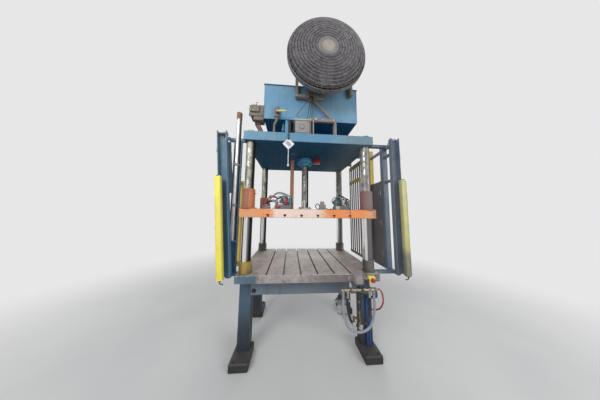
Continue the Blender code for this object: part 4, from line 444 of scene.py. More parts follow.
def make_finishes():
    """Every finish by its short name."""
    greased = platen_high.z + 0.1
    return {
        # The facing Z shade of front_blue and of tank_blue is painted shade on faces that look down.
        "front_blue": painted((0.115, 0.275, 0.43), (0.175, 0.31, 0.4), dirt=0.45, chips=0.5,
                              streaks=0.22, shades=(("facing", "Z", -0.5, -0.9, (0.016, 0.075, 0.15), 0.96),
                                                    ("at", "X", 0.3, 0.7, (0.165, 0.225, 0.245), 0.75))),
        "tank_blue": painted((0.13, 0.305, 0.485), (0.2, 0.365, 0.49), dirt=0.4, chips=0.45,
                             streaks=0.25, shades=(("facing", "Z", -0.5, -0.9, (0.014, 0.08, 0.175), 0.96),)),
        # A lighter copy of the press blue, as painted light on the gland and the rod's wiper.
        "lit_gland_blue": painted((0.11, 0.43, 0.72), (0.13, 0.43, 0.68), dirt=0.3, chips=0.3),
        # bed_blue darkens towards the bottom, and its facing X shades are painted shade on the sides of the
        # bed ends.
        "bed_blue": painted((0.062, 0.115, 0.17), (0.085, 0.13, 0.17), dirt=0.75, chips=0.6,
                            shades=(("at", "Z", -0.25, -0.62, (0.03, 0.034, 0.044), 0.88),
                                    ("facing", "X", 0.5, 0.9, (0.04, 0.036, 0.032), 0.8),
                                    ("facing", "X", -0.5, -0.9, (0.04, 0.036, 0.034), 0.8))),
        "rail_blue": painted((0.175, 0.225, 0.27), (0.195, 0.225, 0.25), dirt=0.5, chips=0.6),
        "guard_blue": painted((0.095, 0.21, 0.33), (0.15, 0.245, 0.31), dirt=0.45, chips=0.7,
                              under=(0.2, 0.21, 0.2)),
        "guard_grey": painted((0.122, 0.172, 0.24), (0.165, 0.2, 0.24), dirt=0.6, chips=0.7,
                              under=(0.22, 0.22, 0.22)),
        "platen": platen_paint(),
        "bushing": painted((0.64, 0.215, 0.095), (0.42, 0.19, 0.13), dirt=0.8, chips=0.6,
                           under=(0.21, 0.16, 0.14), streaks=0.5,
                           shades=(("facing", "X", 0.32, 0.12, (0.27, 0.14, 0.1), 0.8),
                                   ("at", "Z", 0.73, 0.66, (0.33, 0.12, 0.06), 0.6))),
        "bushing_pink": painted((0.275, 0.13, 0.128), (0.26, 0.175, 0.165), dirt=0.7, chips=0.6,
                                under=(0.22, 0.18, 0.17), streaks=0.5,
                                shades=(("facing", "X", -0.8, -0.35, (0.19, 0.176, 0.172), 0.75),)),
        # The column and chrome finishes carry a painted highlight and painted shade by facing; the right
        # columns have their own copy with the highlight placed for them.
        "column": column_chrome(greased, (-0.35, 0.24), 0.5, (0.43, 0.43, 0.31), (0.16, 0.15, 0.115)),
        "column_right_painted_light": column_chrome(greased, (-2.0, -0.66), 0.52, (0.3, 0.29, 0.26),
                                      (0.13, 0.12, 0.11)),
        "chrome": column_chrome(platen_high.z + 0.13, (-0.7, -0.1), 0.4, (0.25, 0.24, 0.21),
                                (0.105, 0.095, 0.085)),
        "steel": bare_metal((0.42, 0.41, 0.4), (0.12, 0.1, 0.085)),
        "zinc": bare_metal((0.38, 0.37, 0.34), (0.15, 0.13, 0.1), rough=0.35, stains=0.35),
        "brass": bare_metal((0.23, 0.19, 0.12), (0.09, 0.07, 0.05), rough=0.38, stains=0.5, metallic=0.6),
        "bolster": bolster_steel(),
        # The last shade of ochre darkens the collar's foot as painted shadow.
        "ochre": painted((0.4, 0.285, 0.066), (0.15, 0.105, 0.065), dirt=1.0, chips=0.9,
                         under=(0.16, 0.1, 0.07),
                         shades=(("facing", "X", -0.05, -0.45, (0.15, 0.09, 0.06), 0.8),
                                 ("at", "Z", 0.035, -0.02, (0.085, 0.06, 0.05), 0.7))),
        "dark_collar": bare_metal((0.19, 0.18, 0.165), (0.05, 0.045, 0.04), rough=0.34, stains=0.8),
        "yellow": painted((0.95, 0.85, 0.12), (0.9, 0.79, 0.17), dirt=0.32, chips=0.35,
                          under=(0.2, 0.18, 0.12), streaks=0.14),
        "worn_yellow": painted((0.7, 0.66, 0.22), (0.56, 0.54, 0.27), dirt=0.6, chips=0.5,
                               under=(0.2, 0.19, 0.16), streaks=0.4,
                               shades=(("at", "Z", 0.36, 0.22, (0.2, 0.195, 0.17), 0.88),)),
        "olive": painted((0.64, 0.47, 0.08), (0.5, 0.39, 0.12), dirt=0.6, chips=0.5,
                         under=(0.16, 0.14, 0.1)),
        "panel": painted((0.15, 0.142, 0.155), (0.195, 0.186, 0.19), dirt=0.4, chips=0.5,
                         under=(0.24, 0.23, 0.22)),
        # The facing Z shade of foot is painted light: the tops are lighter than the fronts.
        "foot": painted((0.03, 0.029, 0.032), (0.045, 0.043, 0.044), dirt=0.6, chips=0.5,
                        under=(0.13, 0.12, 0.11),
                        shades=(("facing", "Z", 0.6, 0.9, (0.085, 0.078, 0.076), 0.75),)),
        "machine": painted((0.2, 0.215, 0.23), (0.27, 0.27, 0.265), dirt=0.6, chips=0.5),
        "cabinet": painted((0.3, 0.285, 0.28), (0.36, 0.335, 0.31), dirt=0.65, chips=0.4,
                           under=(0.14, 0.13, 0.12)),
        "brown": painted((0.15, 0.085, 0.058), (0.235, 0.125, 0.08), dirt=0.6, chips=0.6,
                         under=(0.3, 0.26, 0.22)),
        "dusty": painted((0.25, 0.222, 0.195), (0.175, 0.15, 0.128), dirt=0.8, chips=0.5),
        "bracket": painted((0.205, 0.184, 0.168), (0.32, 0.282, 0.236), dirt=0.6, chips=0.6,
                           under=(0.26, 0.23, 0.2)),
        "pale_zinc": bare_metal((0.56, 0.55, 0.52), (0.26, 0.23, 0.19), rough=0.35, stains=0.25,
                                metallic=0.35),
        # The polished tube's bar finish has painted shade down its sides.
        "polished": bright_bar(0.74, 0.34, 0.12, 0.35),
        "pale_yellow": moulded((0.62, 0.58, 0.24), rough=0.5, dirt=0.5),
        "badge_face": painted((0.42, 0.385, 0.34), (0.26, 0.235, 0.21), dirt=0.9, chips=0.3),
        "rim": painted((0.22, 0.208, 0.212), (0.15, 0.142, 0.145), dirt=0.6, chips=0.3),
        "felt": painted((0.048, 0.045, 0.048), (0.03, 0.028, 0.03), dirt=0.5, chips=0.0),
        "rust_orange": painted((0.4, 0.15, 0.07), (0.25, 0.13, 0.09), dirt=0.6, chips=0.5),
        "sign": moulded((0.8, 0.805, 0.815), rough=0.35, dirt=0.12),
        "sign_panel": moulded((0.38, 0.39, 0.4), rough=0.4, dirt=0.2),
        "red": moulded((0.4, 0.026, 0.026), rough=0.3, dirt=0.25),
        "dark_plastic": moulded((0.03, 0.03, 0.032), rough=0.45),
        "teal": moulded((0.06, 0.27, 0.3), rough=0.4),
        "cream": moulded((0.64, 0.6, 0.5), rough=0.45, dirt=0.4),
        "hose_grey": rubber((0.3, 0.315, 0.36), 0.42),
        "hose_black": rubber((0.018, 0.018, 0.02)),
        "hose_blue": rubber((0.018, 0.06, 0.21), 0.45),
        "hose_red": rubber((0.33, 0.034, 0.028), 0.45),
        "hose_rust": rubber((0.1, 0.024, 0.023), 0.5),
        "wire": dusty_wire(),
        "badge": painted((0.25, 0.232, 0.215), (0.18, 0.166, 0.155), dirt=0.6, chips=0.4),
        "hazard": hazard(),
        "bowl": clear_bowl(),
    }


# Mesh building.

def at(x, y, z):
    return Vector((x, y, z))


def turns(count, start=0.0):
    """Cosine and sine of angles spread evenly round a circle."""
    for index in range(count):
        angle = start + 2 * math.pi * index / count
        yield math.cos(angle), math.sin(angle)


def basis(normal):
    """A rotation whose Z axis is the given direction."""
    return normal.to_track_quat("Z", "Y").to_matrix().to_4x4()


def circle(centre, axis, radius, count, start=0.0):
    """Points evenly round a circle."""
    turn = Matrix.Translation(centre) @ basis(axis)
    return [turn @ at(radius * cosine, radius * sine, 0) for cosine, sine in turns(count, start)]


def smooth_route(points):
    """A Catmull-Rom curve through the points."""
    places = [Vector(point) for point in points]
    padded = [places[0] * 2 - places[1]] + places + [places[-1] * 2 - places[-2]]
    result = []
    for before, start, end, after in zip(padded, padded[1:], padded[2:], padded[3:]):
        for step in range(ROUTE_STEPS):
            t = step / ROUTE_STEPS
            result.append(0.5 * (
                2 * start + (end - before) * t
                + (2 * before - 5 * start + 4 * end - after) * t ** 2
                + (3 * start - before - 3 * end + after) * t ** 3
            ))
    return result + [places[-1]]


class Piece:
    """A mesh of simple shapes, drawn about a place of its own: a point, or a matrix where it leans."""

    def __init__(self, place=ORIGIN):
        self.bm = bmesh.new()
        self.place = place if isinstance(place, Matrix) else Matrix.Translation(place)

    def box(self, low, high, edge=0.0):
        low, high = Vector(low), Vector(high)
        size = high - low
        made = bmesh.ops.create_cube(self.bm, size=1.0)["verts"]
        bmesh.ops.scale(self.bm, vec=size, verts=made)
        bmesh.ops.translate(self.bm, vec=(low + high) / 2, verts=made)
        if edge:
            lines = list(dict.fromkeys(line for vert in made for line in vert.link_edges))
            bmesh.ops.bevel(self.bm, geom=lines, offset=min(edge, min(size) / 3), segments=2, affect="EDGES",
                            profile=0.5)

    def rod(self, start, end, radius, sides=16):
        start, end = Vector(start), Vector(end)
        place = Matrix.Translation((start + end) / 2) @ basis(end - start)
        bmesh.ops.create_cone(self.bm, cap_ends=True, segments=sides, radius1=radius, radius2=radius,
                              depth=(end - start).length, matrix=place)

    def skin(self, rows):
        """Faces between rows of corners. A row of one corner is a tip."""
        for low, high in zip(rows, rows[1:]):
            count = max(len(low), len(high))
            for index in range(count if count > 1 else 0):
                after = (index + 1) % count
                corners = low[:1] if len(low) == 1 else [low[index], low[after]]
                corners = corners + (high[:1] if len(high) == 1 else [high[after], high[index]])
                self.bm.faces.new(corners)

    def turned(self, profile, place=ORIGIN, axis=UP, sides=32):
        """A lathe form of (radius, height along the axis) points, closed at any point on the axis."""
        turn = Matrix.Translation(place) @ basis(axis)
        rows = []
        for radius, height in profile:
            around = turns(sides) if radius else [(0, 0)]
            rows.append([self.bm.verts.new(turn @ at(radius * cosine, radius * sine, height))
                         for cosine, sine in around])
        self.skin(rows)

    def tube(self, points, radius, sides=10, closed=False):
        """A round tube swept along points, with flat ends unless it closes on itself."""
        points = [Vector(point) for point in points]
        count = len(points)
        normal = None
        rows = []
        for index, point in enumerate(points):
            if closed:
                ahead = points[(index + 1) % count] - points[index - 1]
            else:
                ahead = points[min(index + 1, count - 1)] - points[max(index - 1, 0)]
            ahead.normalize()
            if normal is None:
                normal = ahead.orthogonal().normalized()
            normal = (normal - ahead * normal.dot(ahead)).normalized()
            side = ahead.cross(normal)
            rows.append([self.bm.verts.new(point + (normal * cosine + side * sine) * radius)
                         for cosine, sine in turns(sides)])
        if closed:
            rows.append(rows[0])
        else:
            self.bm.faces.new(rows[0][::-1])
            self.bm.faces.new(rows[-1])
        self.skin(rows)

    def hose(self, points, radius, sides=8):
        self.tube(smooth_route(points), radius, sides)

    def arch(self, start, end, rise, lean, radius, sides=9):
        """A hose that rises from one fitting and comes down on another."""
        start, end, lift = Vector(start), Vector(end), UP * rise
        top = (start + end) / 2 + lift + Vector(lean)
        self.hose([start, start + lift * 0.45, top, end + lift * 0.45, end], radius, sides)

    def ring(self, centre, axis, radius, wire, segments=48, sides=6):
        self.tube(circle(centre, axis, radius, segments), wire, sides, closed=True)

    def bolt(self, place, normal, size, washer=True):
        """A hexagon head of that width across flats, chamfered, on a washer."""
        lift = size * 0.14 if washer else 0.0
        if washer:
            washer_shape = [(0, lift), (size * 0.95, lift), (size, lift * 0.7), (size, 0), (0, 0)]
            self.turned(washer_shape, place, normal, 20)
        top = lift + size * 0.62
        self.turned([(0, top), (size * 0.46, top), (size * 0.577, top - size * 0.08), (size * 0.577, lift),
                     (0, lift)], place, normal, 6)

    def cap_screw(self, place, normal, size):
        """A round socket-head screw with its socket."""
        shape = ((0, 0.25), (0.28, 0.25), (0.28, 0.7), (0.44, 0.7), (0.5, 0.62), (0.5, 0), (0, 0))
        self.turned([(size * radius, size * height) for radius, height in shape], place, normal, 14)

    def nut(self, place, axis, size, length):
        """A hexagon nut about an axis, chamfered at both ends."""
        shape = ((0, 1), (0.88, 1), (1, 0.86), (1, 0.14), (0.88, 0), (0, 0))
        edge = size * 0.577
        self.turned([(edge * radius, length * height) for radius, height in shape], place, axis, 6)

    def sorted_faces(self):
        """Corners, no loose edges, and faces, in order of place: a bevel's own order varies by run."""
        corners = sorted(self.bm.verts, key=lambda vert: [round(value, 6) for value in vert.co])
        number = {vert: index for index, vert in enumerate(corners)}
        faces = []
        for face in self.bm.faces:
            loop = [number[vert] for vert in face.verts]
            first = loop.index(min(loop))
            faces.append(loop[first:] + loop[:first])
        return [vert.co[:] for vert in corners], [], sorted(faces)

    def done(self, name, finish, slot, body="frame", stands_for=None):
        """Makes the object, which rides on a body and may stand for a solid that it replaces."""
        bmesh.ops.transform(self.bm, matrix=self.place, verts=self.bm.verts)
        bmesh.ops.recalc_face_normals(self.bm, faces=self.bm.faces)
        mesh = bpy.data.meshes.new(name)
        mesh.from_pydata(*self.sorted_faces())
        self.bm.free()
        mesh.shade_smooth()
        mesh.set_sharp_from_angle(angle=SMOOTH_BELOW)
        mesh.materials.append(finishes[finish])
        obj = bpy.data.objects.new(name, mesh)
        bpy.context.scene.collection.objects.link(obj)
        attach(obj, body)
        if stands_for:
            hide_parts(stands_for)
        return obj


def lathe(name, finish, slot, profile, place, axis, sides, *ride):
    """One turned shape as a piece. ride is its body and the solid that it stands for, if it has them."""
    piece = Piece(place)
    piece.turned(profile, ORIGIN, axis, sides)
    piece.done(name, finish, slot, *ride)


def middle(name):
    low, high = parts[name]
    return (low + high) / 2


def foot_of(name):
    """The centre of a part's lower end."""
    centre = middle(name)
    return at(centre.x, centre.y, parts[name][0].z)


def top_of(name):
    """The centre of a part's upper end."""
    centre = middle(name)
    return at(centre.x, centre.y, parts[name][1].z)


def named(prefix):
    return [name for name in nodes if name.startswith(prefix)]


# The camera, lights and floor.

def make_camera():
    ahead = Vector((math.sin(EYE_YAW) * math.cos(EYE_PITCH), math.cos(EYE_YAW) * math.cos(EYE_PITCH),
                    math.sin(EYE_PITCH)))
    level = Vector((math.cos(EYE_YAW), -math.sin(EYE_YAW), 0))
    upright = level.cross(ahead)
    right = level * math.cos(EYE_ROLL) + upright * math.sin(EYE_ROLL)
    up = upright * math.cos(EYE_ROLL) - level * math.sin(EYE_ROLL)
    data = bpy.data.cameras.new("camera")
    data.lens = LENS_MM
    data.sensor_width = SENSOR_MM
    data.clip_start = 0.02
    data.clip_end = 200
    camera = bpy.data.objects.new("camera", data)
    camera.matrix_world = Matrix.Translation(EYE) @ Matrix((right, up, -ahead)).transposed().to_4x4()
    bpy.context.scene.collection.objects.link(camera)
    bpy.context.scene.camera = camera


def make_light(name, place, target, size, power):
    data = bpy.data.lights.new(name, "AREA")
    data.shape = "SQUARE"
    data.size = size
    data.energy = power
    light = bpy.data.objects.new(name, data)
    light.location = place
    light.rotation_euler = (Vector(target) - Vector(place)).to_track_quat("-Z", "Y").to_euler()
    bpy.context.scene.collection.objects.link(light)


def seen_directly(tree):
    """1 for rays from the camera, and for those that glass and metal send on."""
    path = tree.nodes.new("ShaderNodeLightPath")
    total = path.outputs["Is Camera Ray"]
    for kind in ("Is Glossy Ray", "Is Transmission Ray"):
        larger = tree.nodes.new("ShaderNodeMath")
        larger.operation = "MAXIMUM"
        tree.links.new(total, larger.inputs[0])
        tree.links.new(path.outputs[kind], larger.inputs[1])
        total = larger.outputs[0]
    return total


def make_studio():
    """A pale floor, a pale world behind it and three soft lights."""
    world = bpy.data.worlds.new("studio")
    bpy.context.scene.world = world
    world.use_nodes = True
    tree = world.node_tree
    plain = tree.nodes["Background"]
    plain.inputs["Color"].default_value = SKY_LIGHT
    plain.inputs["Strength"].default_value = SKY_STRENGTH
    seen = tree.nodes.new("ShaderNodeBackground")
    seen.inputs["Color"].default_value = BACKDROP
    seen.inputs["Strength"].default_value = 1.0
    shown = seen_directly(tree)
    blend = tree.nodes.new("ShaderNodeMixShader")
    tree.links.new(shown, blend.inputs[0])
    tree.links.new(plain.outputs[0], blend.inputs[1])
    tree.links.new(seen.outputs[0], blend.inputs[2])
    tree.links.new(blend.outputs[0], tree.nodes["World Output"].inputs["Surface"])
    bm = bmesh.new()
    bmesh.ops.create_grid(bm, x_segments=1, y_segments=1, size=FLOOR_HALF)
    mesh = bpy.data.meshes.new("floor")
    bm.to_mesh(mesh)
    bm.free()
    floor = bpy.data.objects.new("floor", mesh)
    floor.location.z = floor_height - FLOOR_DROP
    bpy.context.scene.collection.objects.link(floor)
    f = Finish(roughness=0.85)
    f.colour(f.mix(f.between(f.noise(0.8, 3.0), 0.3, 0.7), (0.62, 0.62, 0.62), (0.68, 0.68, 0.67)))
    reach = f.node("ShaderNodeVectorMath", operation="LENGTH")
    f.feed(reach.inputs[0], f.place)
    far = f.maths("MULTIPLY", f.between(reach.outputs["Value"], 1.6, 5.5), seen_directly(f.tree))
    glow = f.node("ShaderNodeEmission")
    glow.inputs["Color"].default_value = BACKDROP
    blend = f.node("ShaderNodeMixShader")
    f.feed(blend.inputs[0], far)
    f.tree.links.new(f.shader.outputs[0], blend.inputs[1])
    f.tree.links.new(glow.outputs[0], blend.inputs[2])
    f.tree.links.new(blend.outputs[0], f.tree.nodes["Material Output"].inputs["Surface"])
    mesh.materials.append(f.material)
    for light in LIGHTS:
        make_light(*light)


# Hoses that the air pipe carries. Their routes are those of the solids.

def hose_route(left, right, top, drop):
    """Points of a hose that hangs in a loop between two downward outlets."""
    half = (right - left) / 2
    # Inwards as a share of half the span, and down as a share of the drop, from an end to the lowest point.
    strand = [(0, 0), (0, HOSE_RADIUS * 3 / drop), (-0.03, 0.35), (0.06, 0.62), (0.36, 0.9), (1, 1)]
    return ([(left + half * inward, AIR_PIPE_Y, top - drop * fall) for inward, fall in strand]
            + [(right - half * inward, AIR_PIPE_Y, top - drop * fall) for inward, fall in strand[-2::-1]])


def make_looped_hoses():
    """The two air hoses under the controls, with crimped ends."""
    for name, (left, right, drop) in LOOPED_HOSES.items():
        route = smooth_route(hose_route(left, right, parts[name][1].z, drop))
        piece = Piece()
        piece.tube(route, HOSE_RADIUS, 14)
        hose = piece.done(name + "_cover", name, name, "frame", name)
        fittings = Piece()
        for end in (route[0], route[-1]):
            for index in range(4):
                fittings.turned([(0, 0.007), (0.0135, 0.007), (0.0145, 0.0055), (0.0145, 0.0015), (0.0135, 0),
                                 (0, 0)], end + DOWN * (0.011 + index * 0.01), UP, 16)
        ends = fittings.done(name + "_ferrules", "zinc", "fitting_grey")


# Finishes of the solids. A name that ends in a low line stands for all that begin with it.

SOLID_LOOKS = {
    "foot_": "foot", "bed_end_": "bed_blue", "bed_rail_": "rail_blue", "bolster_plate": "bolster",
    "column_": "column", "column_front_right": "column_right_painted_light", "column_rear_right": "column_right_painted_light",
    "collar_": "dark_collar", "collar_front_left": "ochre", "crown": "front_blue", "cylinder_": "front_blue",
    "cylinder_gland": "lit_gland_blue", "tank_": "tank_blue", "valve_block": "dusty", "ball_valve": "brown",
    "valve_lever": "pale_yellow", "pump_motor": "machine", "hydraulic_pump": "machine",
    "pressure_pipe": "steel", "platen": "platen", "bushing_": "bushing",
    "bushing_front_right": "bushing_pink", "bushing_rear_right": "bushing_pink", "piston_rod": "chrome",
    "piston": "steel", "rod_flange": "platen", "stop_rod": "rust_orange",
    "manifold_": "machine", "guard_frame_": "guard_blue", "guard_frame_right": "guard_grey",
    "light_curtain_": "yellow", "side_curtain_": "olive",
    "guard_panel": "panel", "guard_tube": "polished", "slat_guard": "panel", "fan_bracket": "bracket",
    "fan_guard": "wire", "fan_motor": "wire", "fan_blades": "wire", "sign_plate": "sign",
    "junction_box": "cabinet", "control_station": "cabinet", "stop_button": "red", "air_pipe": "steel",
    "air_unit": "machine", "hose_grey": "hose_grey", "hose_black": "hose_black",
}


def paint_solids():
    """Gives every solid the finish that its name calls for: the longest key that fits."""
    for name, obj in nodes.items():
        fits = [key for key in SOLID_LOOKS if name == key or (key.endswith("_") and name.startswith(key))]
        for slot in obj.material_slots:
            slot.material = finishes[SOLID_LOOKS[max(fits, key=len)]]


# The fan.

def dome(share, depth):
    """Radius and height of the wire dome, from 0 at the badge to 1 at the rim."""
    return BADGE_RADIUS + (RIM_RADIUS - BADGE_RADIUS) * share, depth * math.sqrt(max(0.0, 1 - share ** 2.2))


def make_fan_guard():
    """A domed guard of rings on radial wires, a dusty rim, a badge plate and a rear clogged with lint."""
    low, high = parts["fan_guard"]
    centre = middle("fan_guard")
    hub = at(centre.x, high.y - 0.101, centre.z)
    half = RIM_BAND / 2
    front_depth = hub.y - low.y - 0.004 - half
    rear_depth = high.y - hub.y - 0.003 - half
    ride = ("fan_head", "fan_guard")
    wires = Piece()
    for index in range(FAN_RINGS_FRONT):
        radius, depth = dome(index / FAN_RINGS_FRONT, front_depth)
        thick = FAN_WIRE * (1.35 if index % 3 == 0 else 0.62)
        wires.ring(hub + FRONT * (depth + half), BACK, radius, thick, 56, 5)
    for index in range(FAN_RINGS_REAR):
        radius, depth = dome(index / FAN_RINGS_REAR, rear_depth)
        wires.ring(hub + BACK * (depth + half), BACK, radius, FAN_WIRE, 56, 5)
    for index in range(6):
        thick = FAN_WIRE * (1.2 if index in (0, 5) else 0.95)
        wires.ring(hub + BACK * (RIM_BAND * (index / 5 - 0.5)), BACK, RIM_RADIUS, thick, 64, 6)
    section = [(dome(step / 8, front_depth), -1) for step in range(9)]
    section += [(dome(1 - step / 6, rear_depth), 1) for step in range(7)]
    for cosine, sine in turns(FAN_SPOKES):
        path = [hub + at(cosine, 0, sine) * (radius - FAN_WIRE) + BACK * (way * (depth + half - FAN_WIRE))
                for (radius, depth), way in section]
        wires.tube(path, FAN_WIRE * 0.6, 5)
    wires.done("fan_guard_wires", "wire", "fan_steel", *ride)
    face = hub + FRONT * (front_depth + half)
    plate = Piece(face)
    plate.turned([(0, 0.002), (0.018, 0.0025), (0.024, 0), (0.06, -0.001), (0.076, 0.0035), (0.094, 0.004),
                  (0.106, 0.001), (0.111, -0.004), (0.106, -0.006), (0.06, -0.005), (0, -0.004)],
                 ORIGIN, FRONT, 48)
    for place in circle(ORIGIN, FRONT, 0.046, 4, 0.4):
        plate.cap_screw(place, FRONT, 0.008)
    plate.done("fan_badge_plate", "badge", "fan_steel", *ride)
    lathe("fan_rear_ring", "wire", "fan_steel",
          [(0.02, 0.001), (0.096, 0.001), (0.096, -0.003), (0.02, -0.003), (0.02, 0.001)],
          hub + BACK * (rear_depth + half), BACK, 40, *ride)
    lathe("fan_badge_face", "badge_face", "fan_steel",
          [(0, 0.006), (0.04, 0.0055), (0.062, 0.0035), (0.066, 0), (0, 0)], face, FRONT, 40, *ride)
    inner = RIM_RADIUS - FAN_WIRE * 1.6
    lathe("fan_rim_band", "rim", "fan_steel",
          [(inner, half), (inner, -half), (inner - 0.002, -half), (inner - 0.002, half), (inner, half)],
          hub, BACK, 64, *ride)
    lint = Piece(hub)
    for lift in (0.0, 0.0015):
        profile = []
        for step in range(9):
            share = step / 8
            radius = BADGE_RADIUS + (RIM_RADIUS - 0.006 - BADGE_RADIUS) * share
            profile.append((radius, dome(share, rear_depth - 0.006)[1] + half - 0.002 - lift))
        lint.turned(profile, ORIGIN, BACK, 56)
    lint.done("fan_rear_lint", "felt", "fan_steel", *ride)


def make_fan_details():
    """Cooling ribs, end screws and a terminal box on the fan's motor, its tilt nuts and the hub's cap."""
    low, high = parts["fan_motor"]
    centre = middle("fan_motor")
    ribs = Piece(at(centre.x, high.y, centre.z))
    for cosine, sine in turns(28):
        if abs(cosine) <= 0.93:
            base = at(cosine, 0, sine) * (FAN_MOTOR_RADIUS + 0.001)
            ribs.rod(base + FRONT * 0.14, base + FRONT * 0.03, 0.0025, 6)
    ribs.turned([(0, 0.004), (0.028, 0.004), (0.034, 0.001), (0.034, -0.004), (0, -0.004)], ORIGIN, BACK, 24)
    for place in circle(ORIGIN, BACK, 0.062, 4, 0.8):
        ribs.bolt(place, BACK, 0.009, False)
    ribs.box((-0.028, -0.115, FAN_MOTOR_RADIUS - 0.004), (0.028, -0.055, FAN_MOTOR_RADIUS + 0.018), 0.003)
    ribs.done("fan_motor_ribs", "wire", "fan_aluminium", "fan_head")
    knobs = Piece()
    for x, way in ((low.x, LEFT), (high.x, RIGHT)):
        knobs.nut(at(x, -0.545, centre.z) - way * 0.001, way, 0.026, 0.012)
    knobs.done("fan_tilt_nuts", "zinc", "fan_aluminium", "fan_head")
    lathe("fan_hub_cap", "wire", "fan_aluminium", [(0, 0.006), (0.02, 0.005), (0.034, 0.001), (0.036, -0.001),
                                                   (0, -0.001)],
          at(centre.x, -0.732, centre.z), FRONT, 28, "fan_rotor")


def make_bracket_details():
    """Bolts, feet, cables and the clamp's boss on the fan's bracket."""
    back = parts["fan_bracket"][1].y
    front = back - 0.0402
    bolts = Piece()
    for x, size in ((0.007, 0.016), (0.066, 0.028), (0.146, 0.018), (0.28, 0.022)):
        bolts.bolt((x, back - 0.0262, crown_high.z + 0.19), FRONT, size)
    for x, height, size in ((-0.16, 2.932, 0.014), (-0.075, 2.932, 0.014), (0.09, 2.932, 0.014),
                            (-0.16, 3.02, 0.012), (-0.16, 3.12, 0.012), (-0.16, 3.18, 0.012)):
        bolts.bolt((x, front, above_floor(height)), FRONT, size)
    bolts.done("bracket_bolts", "pale_zinc", "fan_steel")
    feet = Piece(at(0, back, crown_high.z))
    for x in (0.0, 0.3):
        feet.box((x - 0.032, -0.03, 0.0003), (x + 0.032, 0, 0.0083), 0.002)
        for shift in (0.022, -0.022):
            feet.bolt((x + shift, -0.006, 0.0083), UP, 0.01, False)
    feet.rod((0.036, -0.052, -0.03), (0.036, -0.052, 0.17), 0.008, 10)
    feet.nut((0.036, -0.052, -0.04), UP, 0.026, 0.016)
    feet.done("stand_feet", "cabinet", "fan_steel")
    cables = Piece()
    for start, end, height in ((-0.01, -0.15, 0.24), (0.006, -0.03, 0.222), (0.022, -0.004, 0.222),
                               (0.032, 0.02, 0.222)):
        top = at(start, front - 0.022, above_floor(2.898))
        foot = at(end, back - 0.034, crown_high.z + height)
        sag = (top + foot) / 2 + at(0, -0.014, -0.012)
        cables.hose([top + UP * 0.02, top, sag, foot, foot + at(0, 0.004, -0.02)], 0.0042)
    cables.done("bracket_cables", "dark_plastic", "hose_black")
    boss = Piece(at(0, front - 0.02, above_floor(2.94)))
    boss.turned([(0, 0.012), (0.018, 0.01), (0.024, 0), (0.024, -0.002), (0, -0.002)], RIGHT * 0.012, FRONT,
                20)
    boss.bolt((-0.024, 0, 0.01), FRONT, 0.01, False)
    boss.done("clamp_boss", "brown", "brown_steel")


# The tank, the crown and what stands on them.

def make_tank_details():
    """Cover screws, weld beads, the filler cap and a return filter."""
    low, high = parts["tank_body"]
    size = high - low
    spots = [(0.03 + (size.x - 0.06) * index / 8, y) for index in range(9) for y in (0.004, size.y - 0.004)]
    spots += [(x, size.y * index / 4) for index in (1, 2, 3) for x in (0.004, size.x - 0.004)]
    screws = Piece(at(low.x, low.y, parts["tank_cover"][0].z + 0.0063))
    for x, y in spots:
        screws.bolt((x, y, 0), UP, 0.011, False)
    screws.done("tank_screws", "zinc", "press_blue")
    bottom = crown_high.z + 0.195
    seams = Piece()
    for y in (low.y, high.y):
        for x in (low.x, high.x):
            seams.rod((x, y, bottom + 0.002), (x, y, high.z - 0.002), 0.0035, 8)
        seams.rod((low.x, y, bottom), (high.x, y, bottom), 0.0035, 8)
    seams.done("tank_welds", "tank_blue", "press_blue")
    cap = Piece(at(middle("tank_cover").x - 0.3733, middle("tank_body").y, parts["tank_cover"][1].z))
    cap.turned([(0, 0.02), (0.03, 0.02), (0.04, 0.014), (0.042, -0.012), (0.036, -0.014), (0, -0.014)],
               sides=28)
    for place in circle(DOWN * 0.006, UP, 0.042, 12):
        cap.rod(place, place + UP * 0.016, 0.003, 6)
    cap.done("filler_cap", "zinc", "press_blue")
    can = Piece(at(high.x - 0.085, low.y - 0.028, high.z - 0.045))
    can.turned([(0, 0.06), (0.02, 0.06), (0.027, 0.052), (0.027, -0.052), (0.022, -0.06), (0, -0.06)],
               sides=24)
    can.box((-0.02, 0, -0.018), (0.02, 0.0276, 0.018), 0.003)
    can.rod(DOWN * 0.06, DOWN * 0.075, 0.01, 12)
    can.nut(UP * 0.058, UP, 0.018, 0.01)
    can.done("return_filter", "dusty", "press_blue")


